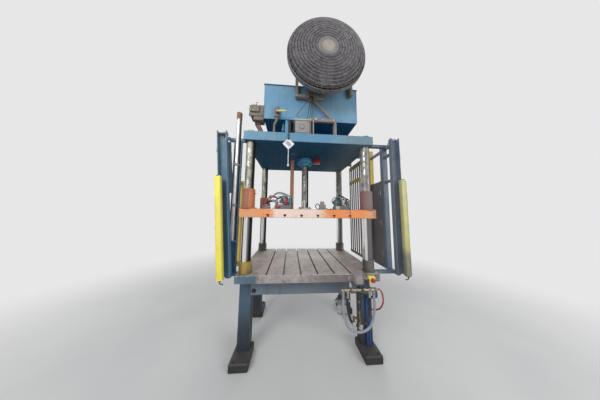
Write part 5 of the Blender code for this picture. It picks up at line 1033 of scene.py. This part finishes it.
def make_valve_details():
    """Solenoids, plugs and hoses of the valve block at the tank's left end."""
    low, high = parts["valve_block"]
    deep = high.y - low.y
    corner = at(high.x, low.y, low.z)
    block = Piece(corner)
    block.box((-0.155, -0.012, -0.01), (-0.0003, deep, 0.125), 0.006)
    block.box((-0.118, -0.004, -0.055), (-0.004, deep - 0.01, -0.008), 0.005)
    block.box((-0.16, -0.03, 0.03), (-0.05, -0.008, 0.105), 0.005)
    for z in (0.032, 0.087):
        block.rod((-0.176, 0.03, z), (-0.15, 0.03, z), 0.019, 18)
    block.done("valve_body", "dusty", "fitting_grey", "frame", "valve_block")
    screws = Piece(corner)
    for x in (-0.145, -0.065):
        for z in (0.042, 0.093):
            screws.cap_screw((x, -0.03, z), FRONT, 0.012)
    for x, rise in ((-0.138, 0.022), (-0.102, 0.044)):
        screws.rod((x, 0.02, 0.12), (x, 0.02, 0.125 + rise), 0.009, 12)
        screws.nut((x, 0.02, 0.125 + rise * 0.4), UP, 0.026, 0.016)
    screws.hose([(-0.102, 0.02, 0.16), (-0.098, 0.016, 0.178), (-0.08, 0.014, 0.176)], 0.009)
    screws.done("valve_screws", "pale_zinc", "fitting_grey")
    lines = Piece(corner)
    for shift in (-0.022, 0.0, 0.022):
        top = at(shift - 0.075, 0.03, -0.048)
        foot = at(shift * 0.9 - 0.04, 0.04, crown_high.z + 0.004 - low.z)
        lines.hose([top, top + DOWN * 0.045, foot + UP * 0.06, foot], 0.0085, 10)
    lines.done("valve_hoses", "hose_rust", "hose_black")


def make_ball_valve_details():
    """The ball valve's cap, nuts and elbow, its lever's grip and the teal fitting beside it."""
    low, high = parts["ball_valve"]
    centre = middle("ball_valve")
    cap = at(centre.x, low.y + 0.044, high.z)
    lathe("valve_cap", "dusty", "brown_steel", [(0, 0.034), (0.01, 0.034), (0.016, 0.03), (0.017, 0.012),
                                                (0.026, 0.008), (0.026, -0.006), (0, -0.006)], cap, UP, 20)
    tall = high.z - low.z
    rings = Piece(at(centre.x, cap.y, low.z))
    for height in (0.004, tall - 0.024):
        rings.nut((0, 0, height), UP, 0.054, 0.016)
    rings.nut((0, -0.042, tall / 2), FRONT, 0.02, 0.01)
    rings.hose([(0, 0, 0.01), (-0.006, 0, -0.04), (-0.026, 0.004, -0.08), (-0.03, 0.02, -0.115),
                (-0.03, 0.02, crown_high.z + 0.003 - low.z)], 0.0125, 12)
    rings.nut((-0.001, 0, -0.022), UP, 0.036, 0.018)
    rings.done("valve_rings", "dusty", "brown_steel")
    lever = middle("valve_lever")
    grip = Piece(at(parts["valve_lever"][1].x, lever.y, lever.z))
    grip.box((-0.07, -0.0055, -0.012), (0.001, 0.0055, 0.012), 0.004)
    grip.done("lever_grip", "pale_yellow", "lever_yellow", "valve_lever")
    teal = Piece(at(centre.x + 0.072, parts["tank_body"][0].y + 0.05, crown_high.z + 0.12))
    teal.turned([(0, 0.04), (0.014, 0.04), (0.018, 0.034), (0.018, -0.02), (0.024, -0.026), (0.024, -0.044),
                 (0, -0.044)], sides=20)
    teal.hose([UP * 0.03, UP * 0.076], 0.009, 10)
    teal.hose([DOWN * 0.03, (0, 0.004, -0.119)], 0.009, 10)
    teal.done("teal_fitting", "teal", "fitting_grey")


def make_crown_details():
    """Column nuts, flange and gland screws, the rod's wiper, hoses, a limit switch and a plate seam."""
    nuts = Piece()
    for name in named("column_"):
        top = top_of(name)
        nuts.turned([(0, 0.004), (0.03, 0.004), (0.036, 0.001), (0.036, -0.002), (0, -0.002)], top, UP, 28)
        for place in circle(top, UP, 0.049, 4, 0.5):
            nuts.cap_screw(place, UP, 0.012)
    nuts.done("column_nut_screws", "steel", "column_chrome")
    gland = at(0, 0, parts["cylinder_gland"][0].z)
    flange = Piece()
    for place in circle(at(0, 0, crown_high.z + FLANGE_TOP), UP, 0.123, 8, 0.2):
        flange.bolt(place, UP, 0.03)
    for place in circle(gland, DOWN, 0.089, 10, 0.2):
        flange.cap_screw(place, DOWN, 0.013)
    flange.done("cylinder_bolts", "steel", "press_blue")
    wiper = Piece(gland)
    wiper.turned([(0.0505, 0), (0.0505, 0.034), (0.074, 0.034), (0.08, 0.028), (0.08, 0), (0.0505, 0)],
                 ORIGIN, DOWN, 40)
    wiper.turned([(0.0985, 0), (0.112, 0), (0.112, -0.034), (0.108, -0.04), (0.0985, -0.04), (0.0985, 0)],
                 ORIGIN, DOWN, 40)
    wiper.done("rod_wiper", "lit_gland_blue", "press_blue")
    box = parts["junction_box"][0]
    hoses = Piece(at(box.x, box.y, crown_high.z))
    for index, x in enumerate((-0.03, -0.052, -0.076)):
        y = 0.06 + 0.012 * index
        lean = 0.014 * (1 - index)
        hoses.hose([(x, y, 0.002), (x + lean, y, 0.06), (x + lean * 1.6, y - 0.008, 0.13), (x, y, 0.194)],
                   0.0085, 10)
    hoses.done("tank_hoses", "hose_black", "hose_black")
    switch = Piece(at(0.157, -0.1, crown_low.z))
    switch.box((-0.049, -0.03, -0.088), (0.049, 0.03, -0.028), 0.006)
    switch.box((-0.039, -0.036, -0.078), (0.039, -0.028, -0.04), 0.003)
    switch.rod((0, 0, -0.03), (0, 0, 0.001), 0.018, 12)
    switch.done("ram_limit_switch", "red", "press_blue")
    seam = Piece(at(-0.37, crown_low.y, crown_low.z))
    seam.box((-0.002, -0.0012, 0.006), (0.002, 0.001, crown_high.z - crown_low.z - 0.006))
    seam.done("crown_seam", "bed_blue", "press_blue")


def make_junction_details():
    """The junction box's door and round port, its pale top flange and its cable glands."""
    low, high = parts["junction_box"]
    wide, deep, tall = high - low
    door = Piece(low)
    door.box((0.008, 0.0046, 0.01), (wide - 0.008, 0.0106, tall - 0.012), 0.002)
    door.turned([(0.02, 0.004), (0.026, 0.01), (0.032, 0.004), (0.032, -0.001), (0.02, -0.001),
                 (0.02, 0.004)], (wide / 2, 0.0046, tall / 2), FRONT)
    door.done("junction_door", "cabinet", "box_plastic")
    lip = Piece(low)
    lip.box((-0.012, -0.004, tall - 0.005), (wide + 0.01, deep - 0.02, tall + 0.004), 0.0015)
    lip.box((wide - 0.001, 0.01, 0.004), (wide + 0.003, 0.02, tall - 0.006), 0.001)
    lip.done("junction_lip", "cream", "box_plastic")
    glands = Piece(low)
    for x in (0.03, wide - 0.03):
        glands.nut((x, deep / 2, tall), UP, 0.022, 0.01)
        glands.hose([(x, deep / 2, tall + height) for height in (0.008, 0.02, 0.029)], 0.006)
    glands.done("junction_glands", "dark_plastic", "box_plastic")


def make_sign_details():
    """A blank grey panel on the diamond, and its strap with rivets."""
    low, high = parts["sign_plate"]
    spot = at((low.x + high.x) / 2, low.y + 0.008, 0)
    panel_place = at(spot.x, low.y + 0.011, crown_low.z - 0.032)
    panel = Piece(Matrix.Translation(panel_place) @ Matrix.Rotation(math.pi / 4, 4, "Y"))
    panel.box((-0.03, -0.0012, -0.019), (0.03, 0, 0.019), 0.0005)
    panel.done("sign_panel", "sign_panel", "sign_white")
    strap = Piece(spot)
    strap.box((-0.009, 0, crown_low.z + 0.014), (0.009, 0.004, crown_high.z + 0.15), 0.001)
    strap.done("sign_strap", "foot", "sign_white")
    rivets = Piece(spot)
    for drop in (0.02, 0.06):
        place = UP * (crown_high.z - drop)
        rivets.turned([(0, 0.002), (0.003, 0.0015), (0.004, 0), (0, 0)], place, FRONT, 12)
    rivets.done("sign_rivets", "zinc", "sign_white")


# The ram.

def make_ram_details():
    """Bushing screws and grease nipples, flange bolts, lifting eyes and the platen's seam."""
    screws = Piece()
    for name in named("bushing_"):
        base, top = foot_of(name), top_of(name)
        screws.turned([(0.0695, 0), (0.0695, 0.006), (0.092, 0.006), (0.094, 0.004), (0.094, 0), (0.0695, 0)],
                      base, UP, 40)
        for place in circle(base + UP * 0.006, UP, 0.082, 6, 0.3):
            screws.cap_screw(place, UP, 0.013)
        inward = LEFT if base.x > 0 else RIGHT
        nipple = top + inward * 0.069 + DOWN * 0.05
        screws.rod(nipple, nipple + inward * 0.014, 0.005, 8)
        for drop in (0.018, 0.034):
            screws.ring(top + DOWN * drop, UP, 0.0692, 0.0012, 36, 5)
    for place in circle(at(0, 0, parts["rod_flange"][1].z), UP, 0.076, 8, 0.2):
        screws.bolt(place, UP, 0.018)
    screws.done("ram_screws", "bushing", "platen_orange", "ram")
    eyes = Piece()
    for x in (platen_low.x + 0.24, platen_high.x - 0.24):
        place = at(x, platen_high.y - 0.12, platen_high.z)
        eyes.turned([(0, 0.012), (0.016, 0.012), (0.02, 0), (0, 0)], place, UP, 18)
        eyes.ring(place + UP * 0.03, BACK, 0.018, 0.0055, 24, 8)
    eyes.done("lifting_eyes", "steel", "platen_orange", "ram")
    seam = Piece(at(0.451, platen_low.y, platen_low.z))
    seam.box((-0.003, -0.0015, 0.02), (0.003, 0.001, platen_high.z - platen_low.z - 0.002))
    seam.done("platen_seam", "brown", "platen_orange", "ram")


def make_manifold_details():
    """Coils, plugs, hose fittings and hose loops on both manifolds."""
    rng = random.Random(4)
    for name, hand, loops in (("manifold_left", 1, 2), ("manifold_right", -1, 3)):
        low, high = parts[name]
        seat = foot_of(name)
        half, front = (high.x - low.x) / 2, (low.y - high.y) / 2
        xs = (-0.08 - 0.006 * hand, 0.08 - 0.006 * hand)
        ys = (-0.031, 0.031)
        nuts = Piece(seat)
        for x in xs:
            for y in ys:
                nuts.nut((x, y, 0.077), UP, 0.03, 0.014)
                nuts.rod((x, y, 0.089), (x, y, 0.117), 0.012, 14)
        for x in (0.03 - half, 0, half - 0.03):
            nuts.cap_screw((x, front, 0.027), FRONT, 0.014)
        nuts.done(name + "_nuts", "zinc", "fitting_grey", "ram")
        tag = Piece(seat)
        tag.box((-0.085, front - 0.012, 0.007), (-0.045, front + 0.002, 0.045), 0.003)
        tag.box((0.01 * hand, front - 0.018, 0.059), (0.01 * hand + 0.03, front + 0.02, 0.121), 0.004)
        tag.done(name + "_plugs", "red" if hand > 0 else "cream", "fitting_grey", "ram")
        hoses = Piece(seat)
        for index in range(loops):
            start = (xs[0] + rng.uniform(-0.004, 0.004), ys[index % 2], 0.101)
            end = (xs[1] + rng.uniform(-0.004, 0.004), ys[(index + 1) % 2], 0.101)
            lean = (hand * 0.02 * (index - 1), -0.01 * index, 0)
            hoses.arch(start, end, 0.04 + 0.022 * index, lean, 0.0065)
        hoses.done(name + "_hoses", "hose_black", "hose_black", "ram")
        tangle = {"hose_grey": Piece(seat), "hose_black": Piece(seat)}
        for index in range(9):
            spot = at(0.02 * hand + rng.uniform(-0.07, 0.07), rng.uniform(-0.018, 0.018) - 0.03, 0.055)
            size = rng.uniform(0.03, 0.054)
            tilt = at(rng.uniform(-0.7, 0.7), -1, rng.uniform(-0.25, 0.25)).normalized()
            centre = spot + UP * (size + rng.uniform(-0.004, 0.026))
            tangle["hose_black" if index % 2 else "hose_grey"].ring(centre, tilt, size, 0.0042, 30, 7)
        for look, made in tangle.items():
            made.done(name + "_loops_" + look[5:], look, look, "ram")
        riser = Piece(seat + at(hand * (half - 0.024), -0.048, 0))
        riser.rod((0, 0, 0.053), (0, 0, 0.155), 0.008, 12)
        riser.nut((0, 0, 0.085), UP, 0.024, 0.02)
        riser.done(name + "_riser", "teal", "fitting_grey", "ram")
    make_side_valve(rng)


def make_side_valve(rng):
    """A small red-capped valve by the front left bushing, piped to the left manifold."""
    corner = at(-0.5, -0.315, platen_high.z)
    body = Piece(corner)
    body.box((-0.045, -0.03, 0.0002), (0.045, 0.03, 0.042), 0.004)
    body.box((-0.02, -0.025, 0.04), (0.02, 0.025, 0.062), 0.004)
    body.done("side_valve", "machine", "fitting_grey", "ram")
    caps = Piece(corner)
    caps.rod((-0.03, 0, 0.04), (-0.03, 0, 0.088), 0.015, 18)
    caps.rod((0.032, 0, 0.04), (0.032, 0, 0.07), 0.013, 18)
    caps.box((-0.052, -0.035, 0.008), (-0.04, 0.015, 0.034), 0.002)
    caps.done("side_valve_caps", "red", "fitting_grey", "ram")
    runs = Piece(corner)
    for index in range(2):
        start = (0.012 * index - 0.005, rng.uniform(-0.012, 0.012) - 0.003, 0.05)
        end = (0.115 + 0.018 * index, rng.uniform(-0.014, 0.01), 0.07)
        runs.arch(start, end, 0.036 + 0.016 * index, (0, -0.012 * index, 0), 0.0062, 8)
    runs.done("side_valve_hoses", "hose_black", "hose_black", "ram")
    far = middle("manifold_left") - corner
    arcs = {"hose_red": Piece(corner), "hose_grey": Piece(corner)}
    for index in range(4):
        start = (0.014 * index - 0.01, 0.008 * index - 0.005, 0.058)
        end = (far.x + (-0.086, 0.074)[index // 2], far.y + (-0.031, 0.031)[index % 2], 0.116)
        arc = arcs["hose_red" if index < 2 else "hose_grey"]
        arc.arch(start, end, 0.058 + 0.022 * index, (-0.022, -0.01 * index, 0), 0.0068)
    for look, made in arcs.items():
        made.done("side_valve_" + look[5:], look, "hose_black", "ram")


def make_middle_valve():
    """A grey valve with a round port between the rod and the right manifold, and its thin black lines."""
    corner = at(0.192, middle("manifold_right").y, platen_high.z)
    body = Piece(corner)
    body.box((-0.038, -0.028, 0.0002), (0.038, 0.028, 0.07), 0.006)
    body.turned([(0, 0.108), (0.02, 0.108), (0.026, 0.102), (0.026, 0.066), (0, 0.066)], LEFT * 0.002, UP, 24)
    body.turned([(0.012, 0.004), (0.016, 0.008), (0.022, 0.004), (0.022, -0.001), (0.012, -0.001),
                 (0.012, 0.004)], (0, -0.028, 0.04), FRONT, 24)
    for x in (-0.03, 0.03):
        for height in (0.012, 0.06):
            body.cap_screw((x, -0.028, height), FRONT, 0.008)
    body.done("middle_valve", "cabinet", "fitting_grey", "ram")
    lines = Piece(corner)
    lines.hose([(-0.034, 0, 0.05), (-0.064, -0.006, 0.078), (-0.09, -0.016, 0.05), (-0.074, -0.026, 0.016),
                (-0.042, -0.03, 0.01)], 0.0052)
    lines.hose([(0.036, -0.01, 0.024), (0.066, -0.02, 0.01), (0.108, -0.022, 0.008),
                (parts["manifold_right"][0].x - 0.188, -0.014, 0.018)], 0.0052)
    lines.done("middle_valve_lines", "hose_black", "hose_black", "ram")


# The guards.

def guard_axis(side):
    """Foot and upward direction of a guard's front channel."""
    if side > 0:
        low = parts["guard_frame_right"][0]
        return at(1.025, low.y + 0.025, low.z), UP
    return at(-0.853, -0.5, above_floor(0.89)), at(-math.sin(GUARD_LEAN), 0, math.cos(GUARD_LEAN))


def leaning(place, up):
    """A matrix that stands at a place and leans sideways with a channel."""
    return Matrix.Translation(place) @ Matrix((BACK.cross(up), BACK, up)).transposed().to_4x4()


def make_guard_details():
    """Bolts, brackets, the light curtains' bars and end caps, and their cables."""
    bolts, plates, caps, cables = Piece(), Piece(), Piece(), Piece()
    for name, side, out, rise, look in (("light_curtain_left", -1, 0.032, 0.0, "yellow"),
                                        ("light_curtain_right", 1, 0.037, 0.026, "worn_yellow")):
        foot, up = guard_axis(side)
        outward = at(up.z, 0, -up.x) * side
        for share in (0.06, 0.3, 0.55, 0.74, 0.86, 0.95):
            bolts.bolt(foot + BACK * 0.018 + up * GUARD_LENGTH * share + outward * 0.012, FRONT, 0.009)
        for share in (0.12, 0.86):
            centre = foot + up * GUARD_LENGTH * share + outward * 0.052
            plates.box(centre - at(0.006, 0.02, 0.028), centre + at(0.006, 0.02, 0.028), 0.002)
        centre = foot + outward * out + FRONT * 0.054 + up * rise
        bar = Piece(leaning(centre, up))
        bar.box((-0.03, -0.018, 0), (0.03, 0.024, CURTAIN_LENGTH), 0.005)
        for x in (-0.025, 0.025):
            bar.box((x - 0.003, -0.0205, 0.02), (x + 0.003, -0.015, CURTAIN_LENGTH - 0.02), 0.001)
        for z in (0.1, 0.86):
            bar.box((-0.014, 0.02, z), (0.014, 0.0285, z + 0.06), 0.002)
        bar.done(name + "_bar", look, "curtain_yellow", "frame", name)
        for height, way in ((0, -up), (CURTAIN_LENGTH, up)):
            caps.turned([(0, 0.006), (0.02, 0.006), (0.024, 0.003), (0.025, 0), (0, 0)],
                        centre + up * height, way, 4)
        cables.hose([centre - up * 0.012, centre - up * 0.03, centre - up * 0.036 - outward * 0.03], 0.005)
    bolts.done("guard_bolts", "machine", "press_blue")
    plates.done("curtain_brackets", "machine", "press_blue")
    caps.done("curtain_caps", "dark_plastic", "curtain_yellow")
    cables.done("curtain_cables", "hose_black", "hose_black")


def make_left_strip():
    """The narrow angle just inside the left front channel, the curtain's edge and the bracket at the top."""
    foot, up = guard_axis(-1)
    strip = Piece(leaning(foot + at(0.054, 0.046, 0), up))
    for x, y in ((-0.013, 0.005), (0.009, 0.026)):
        strip.box((x, 0, GUARD_LENGTH * 0.56), (0.013, y, GUARD_LENGTH - 0.1), 0.001)
    strip.done("left_angle", "guard_grey", "press_blue")
    low, high = parts["side_curtain_left"]
    edge = Piece()
    edge.box(low + at(-0.014, 0.004, 0.004), (low.x + 0.003, high.y - 0.02, high.z - 0.004), 0.003)
    edge.done("side_curtain_edge", "olive", "curtain_yellow")
    bracket = Piece(foot + up * (GUARD_LENGTH - 0.035))
    bracket.box((-0.04, -0.018, 0), (0.06, 0.026, 0.006), 0.002)
    bracket.box((0.04, -0.01, -0.06), (0.046, 0.026, 0.004), 0.002)
    bracket.bolt((0.012, 0, 0.006), UP, 0.018)
    bracket.done("left_top_bracket", "machine", "press_blue")


def make_tube_clamps():
    """Two clamps that hold the polished tube, its upper part and its end plug."""
    centre = middle("guard_tube")
    clamps = Piece()
    for height in (1.636, 2.1):
        place = at(centre.x, centre.y, above_floor(height))
        clamps.turned([(TUBE_RADIUS, 0.012), (0.036, 0.012), (0.036, -0.012), (TUBE_RADIUS, -0.012),
                       (TUBE_RADIUS, 0.012)], place, UP, 28)
        for way in (RIGHT, LEFT):
            clamps.bolt(place + way * 0.036 + FRONT * 0.002, way, 0.012)
    clamps.done("tube_clamps", "machine", "polished_tube")
    top = at(centre.x, centre.y, above_floor(TUBE_TOP))
    above = Piece()
    above.rod(top_of("guard_tube") + DOWN * 0.0002, top, TUBE_RADIUS, 28)
    above.done("tube_upper", "polished", "polished_tube")
    lathe("tube_plug", "brown", "polished_tube",
          [(0, 0.01), (0.02, 0.01), (0.031, 0.006), (0.031, -0.075), (0, -0.075)], top, UP, 28)


def make_right_cable():
    """The thin cable that loops over the right channel's top and runs down its outer side."""
    foot, up = guard_axis(1)
    loop = Piece(foot + up * GUARD_LENGTH)
    loop.hose([(-0.08, 0.03, -0.1), (-0.066, 0.01, -0.03), (-0.03, -0.005, 0.008), (0.02, -0.006, 0.01),
               (0.054, -0.004, -0.04), (0.06, 0, -0.18), (0.058, 0, -0.42), (0.062, 0, -0.52)], 0.0045)
    loop.done("right_cable", "hose_grey", "hose_grey")


def make_slat_details():
    """Hazard banded cover strips on the slatted guard and hinge blocks on the folded panel."""
    low, high = parts["slat_guard"]
    bands = Piece(at(low.x + 0.0443, low.y, above_floor(SLAT_TOP)))
    for z in (-0.06, -0.3):
        bands.box((-0.0018, 0.002, z + 0.002), (0, high.y - low.y - 0.002, z + 0.058))
    bands.done("slat_bands", "hazard", "guard_grey")
    hinges = Piece(parts["guard_panel"][0])
    for z in (0.16, 0.55, 0.94):
        hinges.rod((0, 0, z - 0.035), (0, 0, z + 0.035), 0.006, 12)
        hinges.bolt((0.016, 0.06, z), LEFT, 0.012)
    hinges.done("panel_hinges", "steel", "guard_grey")


# The bed, the controls and the air service.

def make_bed_details():
    """Anchor bolts, rail bolts, collar screws and the sleeve that stands for the front right collar."""
    bolts = Piece()
    for name in named("foot_"):
        top = top_of(name)
        for x in (-0.06, 0.06):
            bolts.bolt(top + at(x, math.copysign(0.1, top.y), 0), UP, 0.02)
    low, high = parts["bed_rail_front"]
    for x in (low.x + 0.03, high.x - 0.03):
        for z in (low.z + 0.045, high.z - 0.045):
            bolts.bolt((x, low.y, z), FRONT, 0.024)
            bolts.bolt((x, parts["bed_rail_rear"][1].y, z), BACK, 0.024)
    bolts.done("bed_bolts", "foot", "bed_blue")
    sleeved = "collar_front_right"
    screws = Piece()
    for name in named("collar_"):
        if name != sleeved:
            aside = at(-math.copysign(0.058, middle(name).x), -0.033, 0)
            screws.cap_screw(foot_of(name) + aside + UP * 0.03, FRONT, 0.014)
            screws.cap_screw(top_of(name) + aside + DOWN * 0.03, FRONT, 0.014)
    screws.done("collar_screws", "steel", "collar_ochre")
    tall = parts[sleeved][1].z - parts[sleeved][0].z
    lathe("collar_sleeve", "dark_collar", "collar_ochre",
          [(0.0512, 0), (0.066, 0), (0.066, 0.012), (0.06, 0.016), (0.06, tall - 0.004), (0.057, tall),
           (0.0512, tall), (0.0512, 0)], foot_of(sleeved), UP, 40, "frame", sleeved)


def make_control_details():
    """Boxes, faces, screws and glands of the control station, and the cover and cap of the stop button."""
    low, high = parts["control_station"]
    deep = high.y - low.y
    corner = at(0, low.y, low.z)
    station = Piece(corner)
    station.box((low.x + 0.01, deep - 0.006, 0.004), (high.x - 0.01, deep - 0.0003, 0.056), 0.001)
    for box in (((0.449, 0, 0.002), (0.529, deep - 0.005, 0.084), 0.006),
                ((0.543, 0.01, -0.006), (0.5925, deep - 0.005, 0.052), 0.005),
                ((0.602, 0.03, 0.006), (0.658, deep - 0.005, 0.062), 0.005)):
        station.box(*box)
    station.done("control_boxes", "cabinet", "box_plastic", "frame", "control_station")
    face = Piece(corner)
    face.box((0.453, -0.004, 0.006), (0.525, 0.001, 0.08), 0.002)
    for x in (0.459, 0.519):
        for z in (0.012, 0.074):
            face.cap_screw((x, -0.004, z), FRONT, 0.007)
    face.done("control_face", "cabinet", "box_plastic")
    dark = Piece(corner)
    dark.box((0.545, 0.006, -0.003), (0.59, 0.012, 0.049), 0.003)
    dark.rod((0.567, 0.008, 0.023), (0.567, -0.004, 0.023), 0.011, 20)
    dark.done("selector_switch", "dark_plastic", "box_plastic")
    button = middle("stop_button")
    button.y = parts["stop_button"][0].y
    cover = Piece(button)
    cover.box((-0.033, 0.0196, -0.031), (0.033, 0.0606, 0.031), 0.005)
    cover.done("stop_cover", "yellow", "box_plastic")
    lathe("stop_cap", "red", "button_red", [(0, 0.001), (0.01, 0.0008), (0.018, -0.001), (0.0225, -0.005),
                                            (0.0225, -0.012), (0.02, -0.0135), (0, -0.0135)],
          button, FRONT, 32, "stop_button")
    glands = Piece(corner)
    for x in (0.472, 0.508):
        glands.nut((x, 0.04, 0.003), DOWN, 0.02, 0.01)
        glands.hose([(x, 0.04, -0.005), (x, 0.04, -0.027), (x + 0.012, 0.05, -0.049)], 0.005)
    glands.done("control_glands", "dark_plastic", "box_plastic")


def make_air_details():
    """Unions, small valves, drain legs and the red and blue lines of the air pipe."""
    pipe = at(0, AIR_PIPE_Y, above_floor(AIR_PIPE_HEIGHT))
    brass, handles = Piece(pipe), Piece(pipe)
    for x in (0.345, 0.415, 0.47, 0.545, 0.605, 0.66):
        brass.nut((x - 0.012, 0, 0), RIGHT, 0.034, 0.024)
    for x in (0.4, 0.52):
        brass.rod((x, 0, 0), (x, -0.034, 0), 0.011, 14)
        brass.nut((x, -0.03, 0), FRONT, 0.02, 0.012)
        handles.box((x - 0.008, -0.052, -0.006), (x + 0.04, -0.044, 0.006), 0.003)
    brass.done("air_unions", "brass", "fitting_grey")
    handles.done("air_handles", "brown", "fitting_grey")
    leg = Piece(pipe)
    leg.rod((0.487, 0, -0.01), (0.487, 0, -0.205), 0.0085, 12)
    leg.hose([(0.487, 0, -0.2), (0.48, 0, -0.235), (0.455, 0, -0.262), (0.432, 0, -0.268)], 0.0075, 10)
    leg.done("drain_leg", "dark_plastic", "fitting_grey")
    drains = Piece(pipe)
    for x, z in ((0.487, -0.12), (0.487, -0.215), (0.436, -0.268)):
        drains.nut((x, 0, z), UP, 0.026, 0.02)
    drains.rod((0.432, 0, -0.262), (0.432, 0, -0.3), 0.009, 12)
    drains.rod((0.487, 0, -0.215), (0.5, 0, -0.33), 0.008, 12)
    drains.done("drain_unions", "brass", "fitting_grey")
    cups = Piece(pipe)
    for x, z in ((0.432, -0.292), (0.501, -0.318)):
        cups.turned([(0, 0), (0.018, 0), (0.021, -0.006), (0.02, -0.04), (0.01, -0.052), (0, -0.053)],
                    (x, 0, z), UP, 22)
    cups.done("drain_cups", "bowl", "fitting_grey")
    end = parts["air_pipe"][1].x
    red = Piece(at(end, pipe.y, pipe.z))
    red.hose([LEFT * 0.004, RIGHT * 0.026, (0.056, 0.002, -0.044), (0.066, 0.01, -0.13), (0.06, 0.06, -0.22),
              (0.05, 0.15, -0.29), (0.74 - end, 0.228, -0.33)], 0.007, 10)
    red.done("red_line", "hose_red", "hose_black")
    blue = Piece(pipe)
    for shift in (0.64, 0.666):
        blue.hose([(shift + x, y, z) for x, y, z in (
            (0, 0, -0.01), (0.01, 0.01, -0.07), (0.032, 0.1, -0.13), (0.044, 0.2172, -0.2),
            (0.047, 0.2237, -0.35), (0.047, 0.2237, -0.635), (0.05, 0.2212, -0.701))], 0.0125, 12)
    blue.done("blue_line", "hose_blue", "hose_black")


def make_air_unit_details():
    """Bowls, fittings, a gauge and a knob on the filter unit."""
    low, high = parts["air_unit"]
    left, right = low.x + 0.0325, high.x - 0.0325
    line = at(0, low.y + 0.028, above_floor(AIR_UNIT_TOP))
    bowls, fittings = Piece(line), Piece(line)
    for x in (left, right):
        bowls.turned([(0, -0.106), (0.012, -0.105), (0.022, -0.095), (0.0255, -0.07), (0.0265, -0.004),
                      (0.024, 0), (0, 0)], (x, 0, -0.052), UP, 28)
        fittings.ring((x, 0, -0.058), UP, 0.027, 0.004, 28, 6)
        fittings.nut((x, 0, -0.17), UP, 0.014, 0.014)
    bowls.done("air_bowls", "bowl", "fitting_grey")
    fittings.turned([(0, 0.006), (0.018, 0.006), (0.021, 0.002), (0.021, -0.01), (0, -0.01)],
                    (high.x - 0.033, -0.03, -0.026), FRONT, 24)
    for x, way in ((low.x, LEFT), (high.x, RIGHT)):
        fittings.nut((x, 0, -0.026), way, 0.032, 0.02)
    fittings.done("air_fittings", "zinc", "fitting_grey")
    knob = Piece(line + RIGHT * left)
    knob.turned([(0, 0.034), (0.016, 0.034), (0.02, 0.03), (0.021, 0.004), (0.018, 0), (0, 0)], sides=24)
    for place in circle(UP * 0.006, UP, 0.0205, 16):
        knob.rod(place, place + UP * 0.022, 0.0016, 5)
    knob.done("air_knob", "dark_plastic", "fitting_grey")


def make_power_details():
    """Ribs and grille on the pump motor, and unions on the pressure pipe."""
    axis = at(0.31, 0.33, above_floor(MOTOR_AXIS_HEIGHT))
    ribs = Piece(axis)
    for cosine, sine in turns(40):
        if -0.7 <= sine <= 0.72:
            base = at(0, cosine, sine) * 0.106
            ribs.rod(base + LEFT * 0.15, base + RIGHT * 0.15, 0.0035, 6)
    for x in (-0.172, 0.168):
        ribs.ring((x, 0, 0), RIGHT, 0.105, 0.006, 40, 6)
    ribs.done("motor_ribs", "machine", "machine_grey")
    grille = Piece(at(parts["pump_motor"][1].x, axis.y, axis.z))
    for radius in (0.02, 0.036, 0.052, 0.068, 0.084):
        grille.ring(ORIGIN, RIGHT, radius, 0.002, 36, 5)
    for place in circle(ORIGIN, RIGHT, 0.084, 8):
        grille.rod(ORIGIN, place, 0.002, 5)
    grille.done("motor_grille", "steel", "machine_grey")
    low, high = parts["pressure_pipe"]
    pump = parts["hydraulic_pump"][0].x
    nuts = Piece()
    nuts.nut((pump + 0.085, axis.y, low.z - 0.004), UP, 0.04, 0.026)
    for place in circle(at(pump, axis.y, axis.z), LEFT, 0.044, 6, 0.3):
        nuts.bolt(place, LEFT, 0.013, False)
    nuts.nut((0, 0.0962, high.z - 0.013), BACK, 0.044, 0.026)
    nuts.done("pipe_unions", "zinc", "bare_steel")


finishes = make_finishes()
make_camera()
make_looped_hoses()
make_studio()
paint_solids()
for make_details in (
        make_fan_guard, make_fan_details, make_bracket_details, make_tank_details, make_valve_details,
        make_ball_valve_details, make_crown_details, make_junction_details, make_sign_details,
        make_ram_details, make_manifold_details, make_middle_valve, make_guard_details, make_left_strip,
        make_tube_clamps, make_right_cable, make_slat_details, make_bed_details, make_control_details,
        make_air_details, make_air_unit_details, make_power_details):
    make_details()

bpy.context.scene.view_settings.view_transform = "Standard"
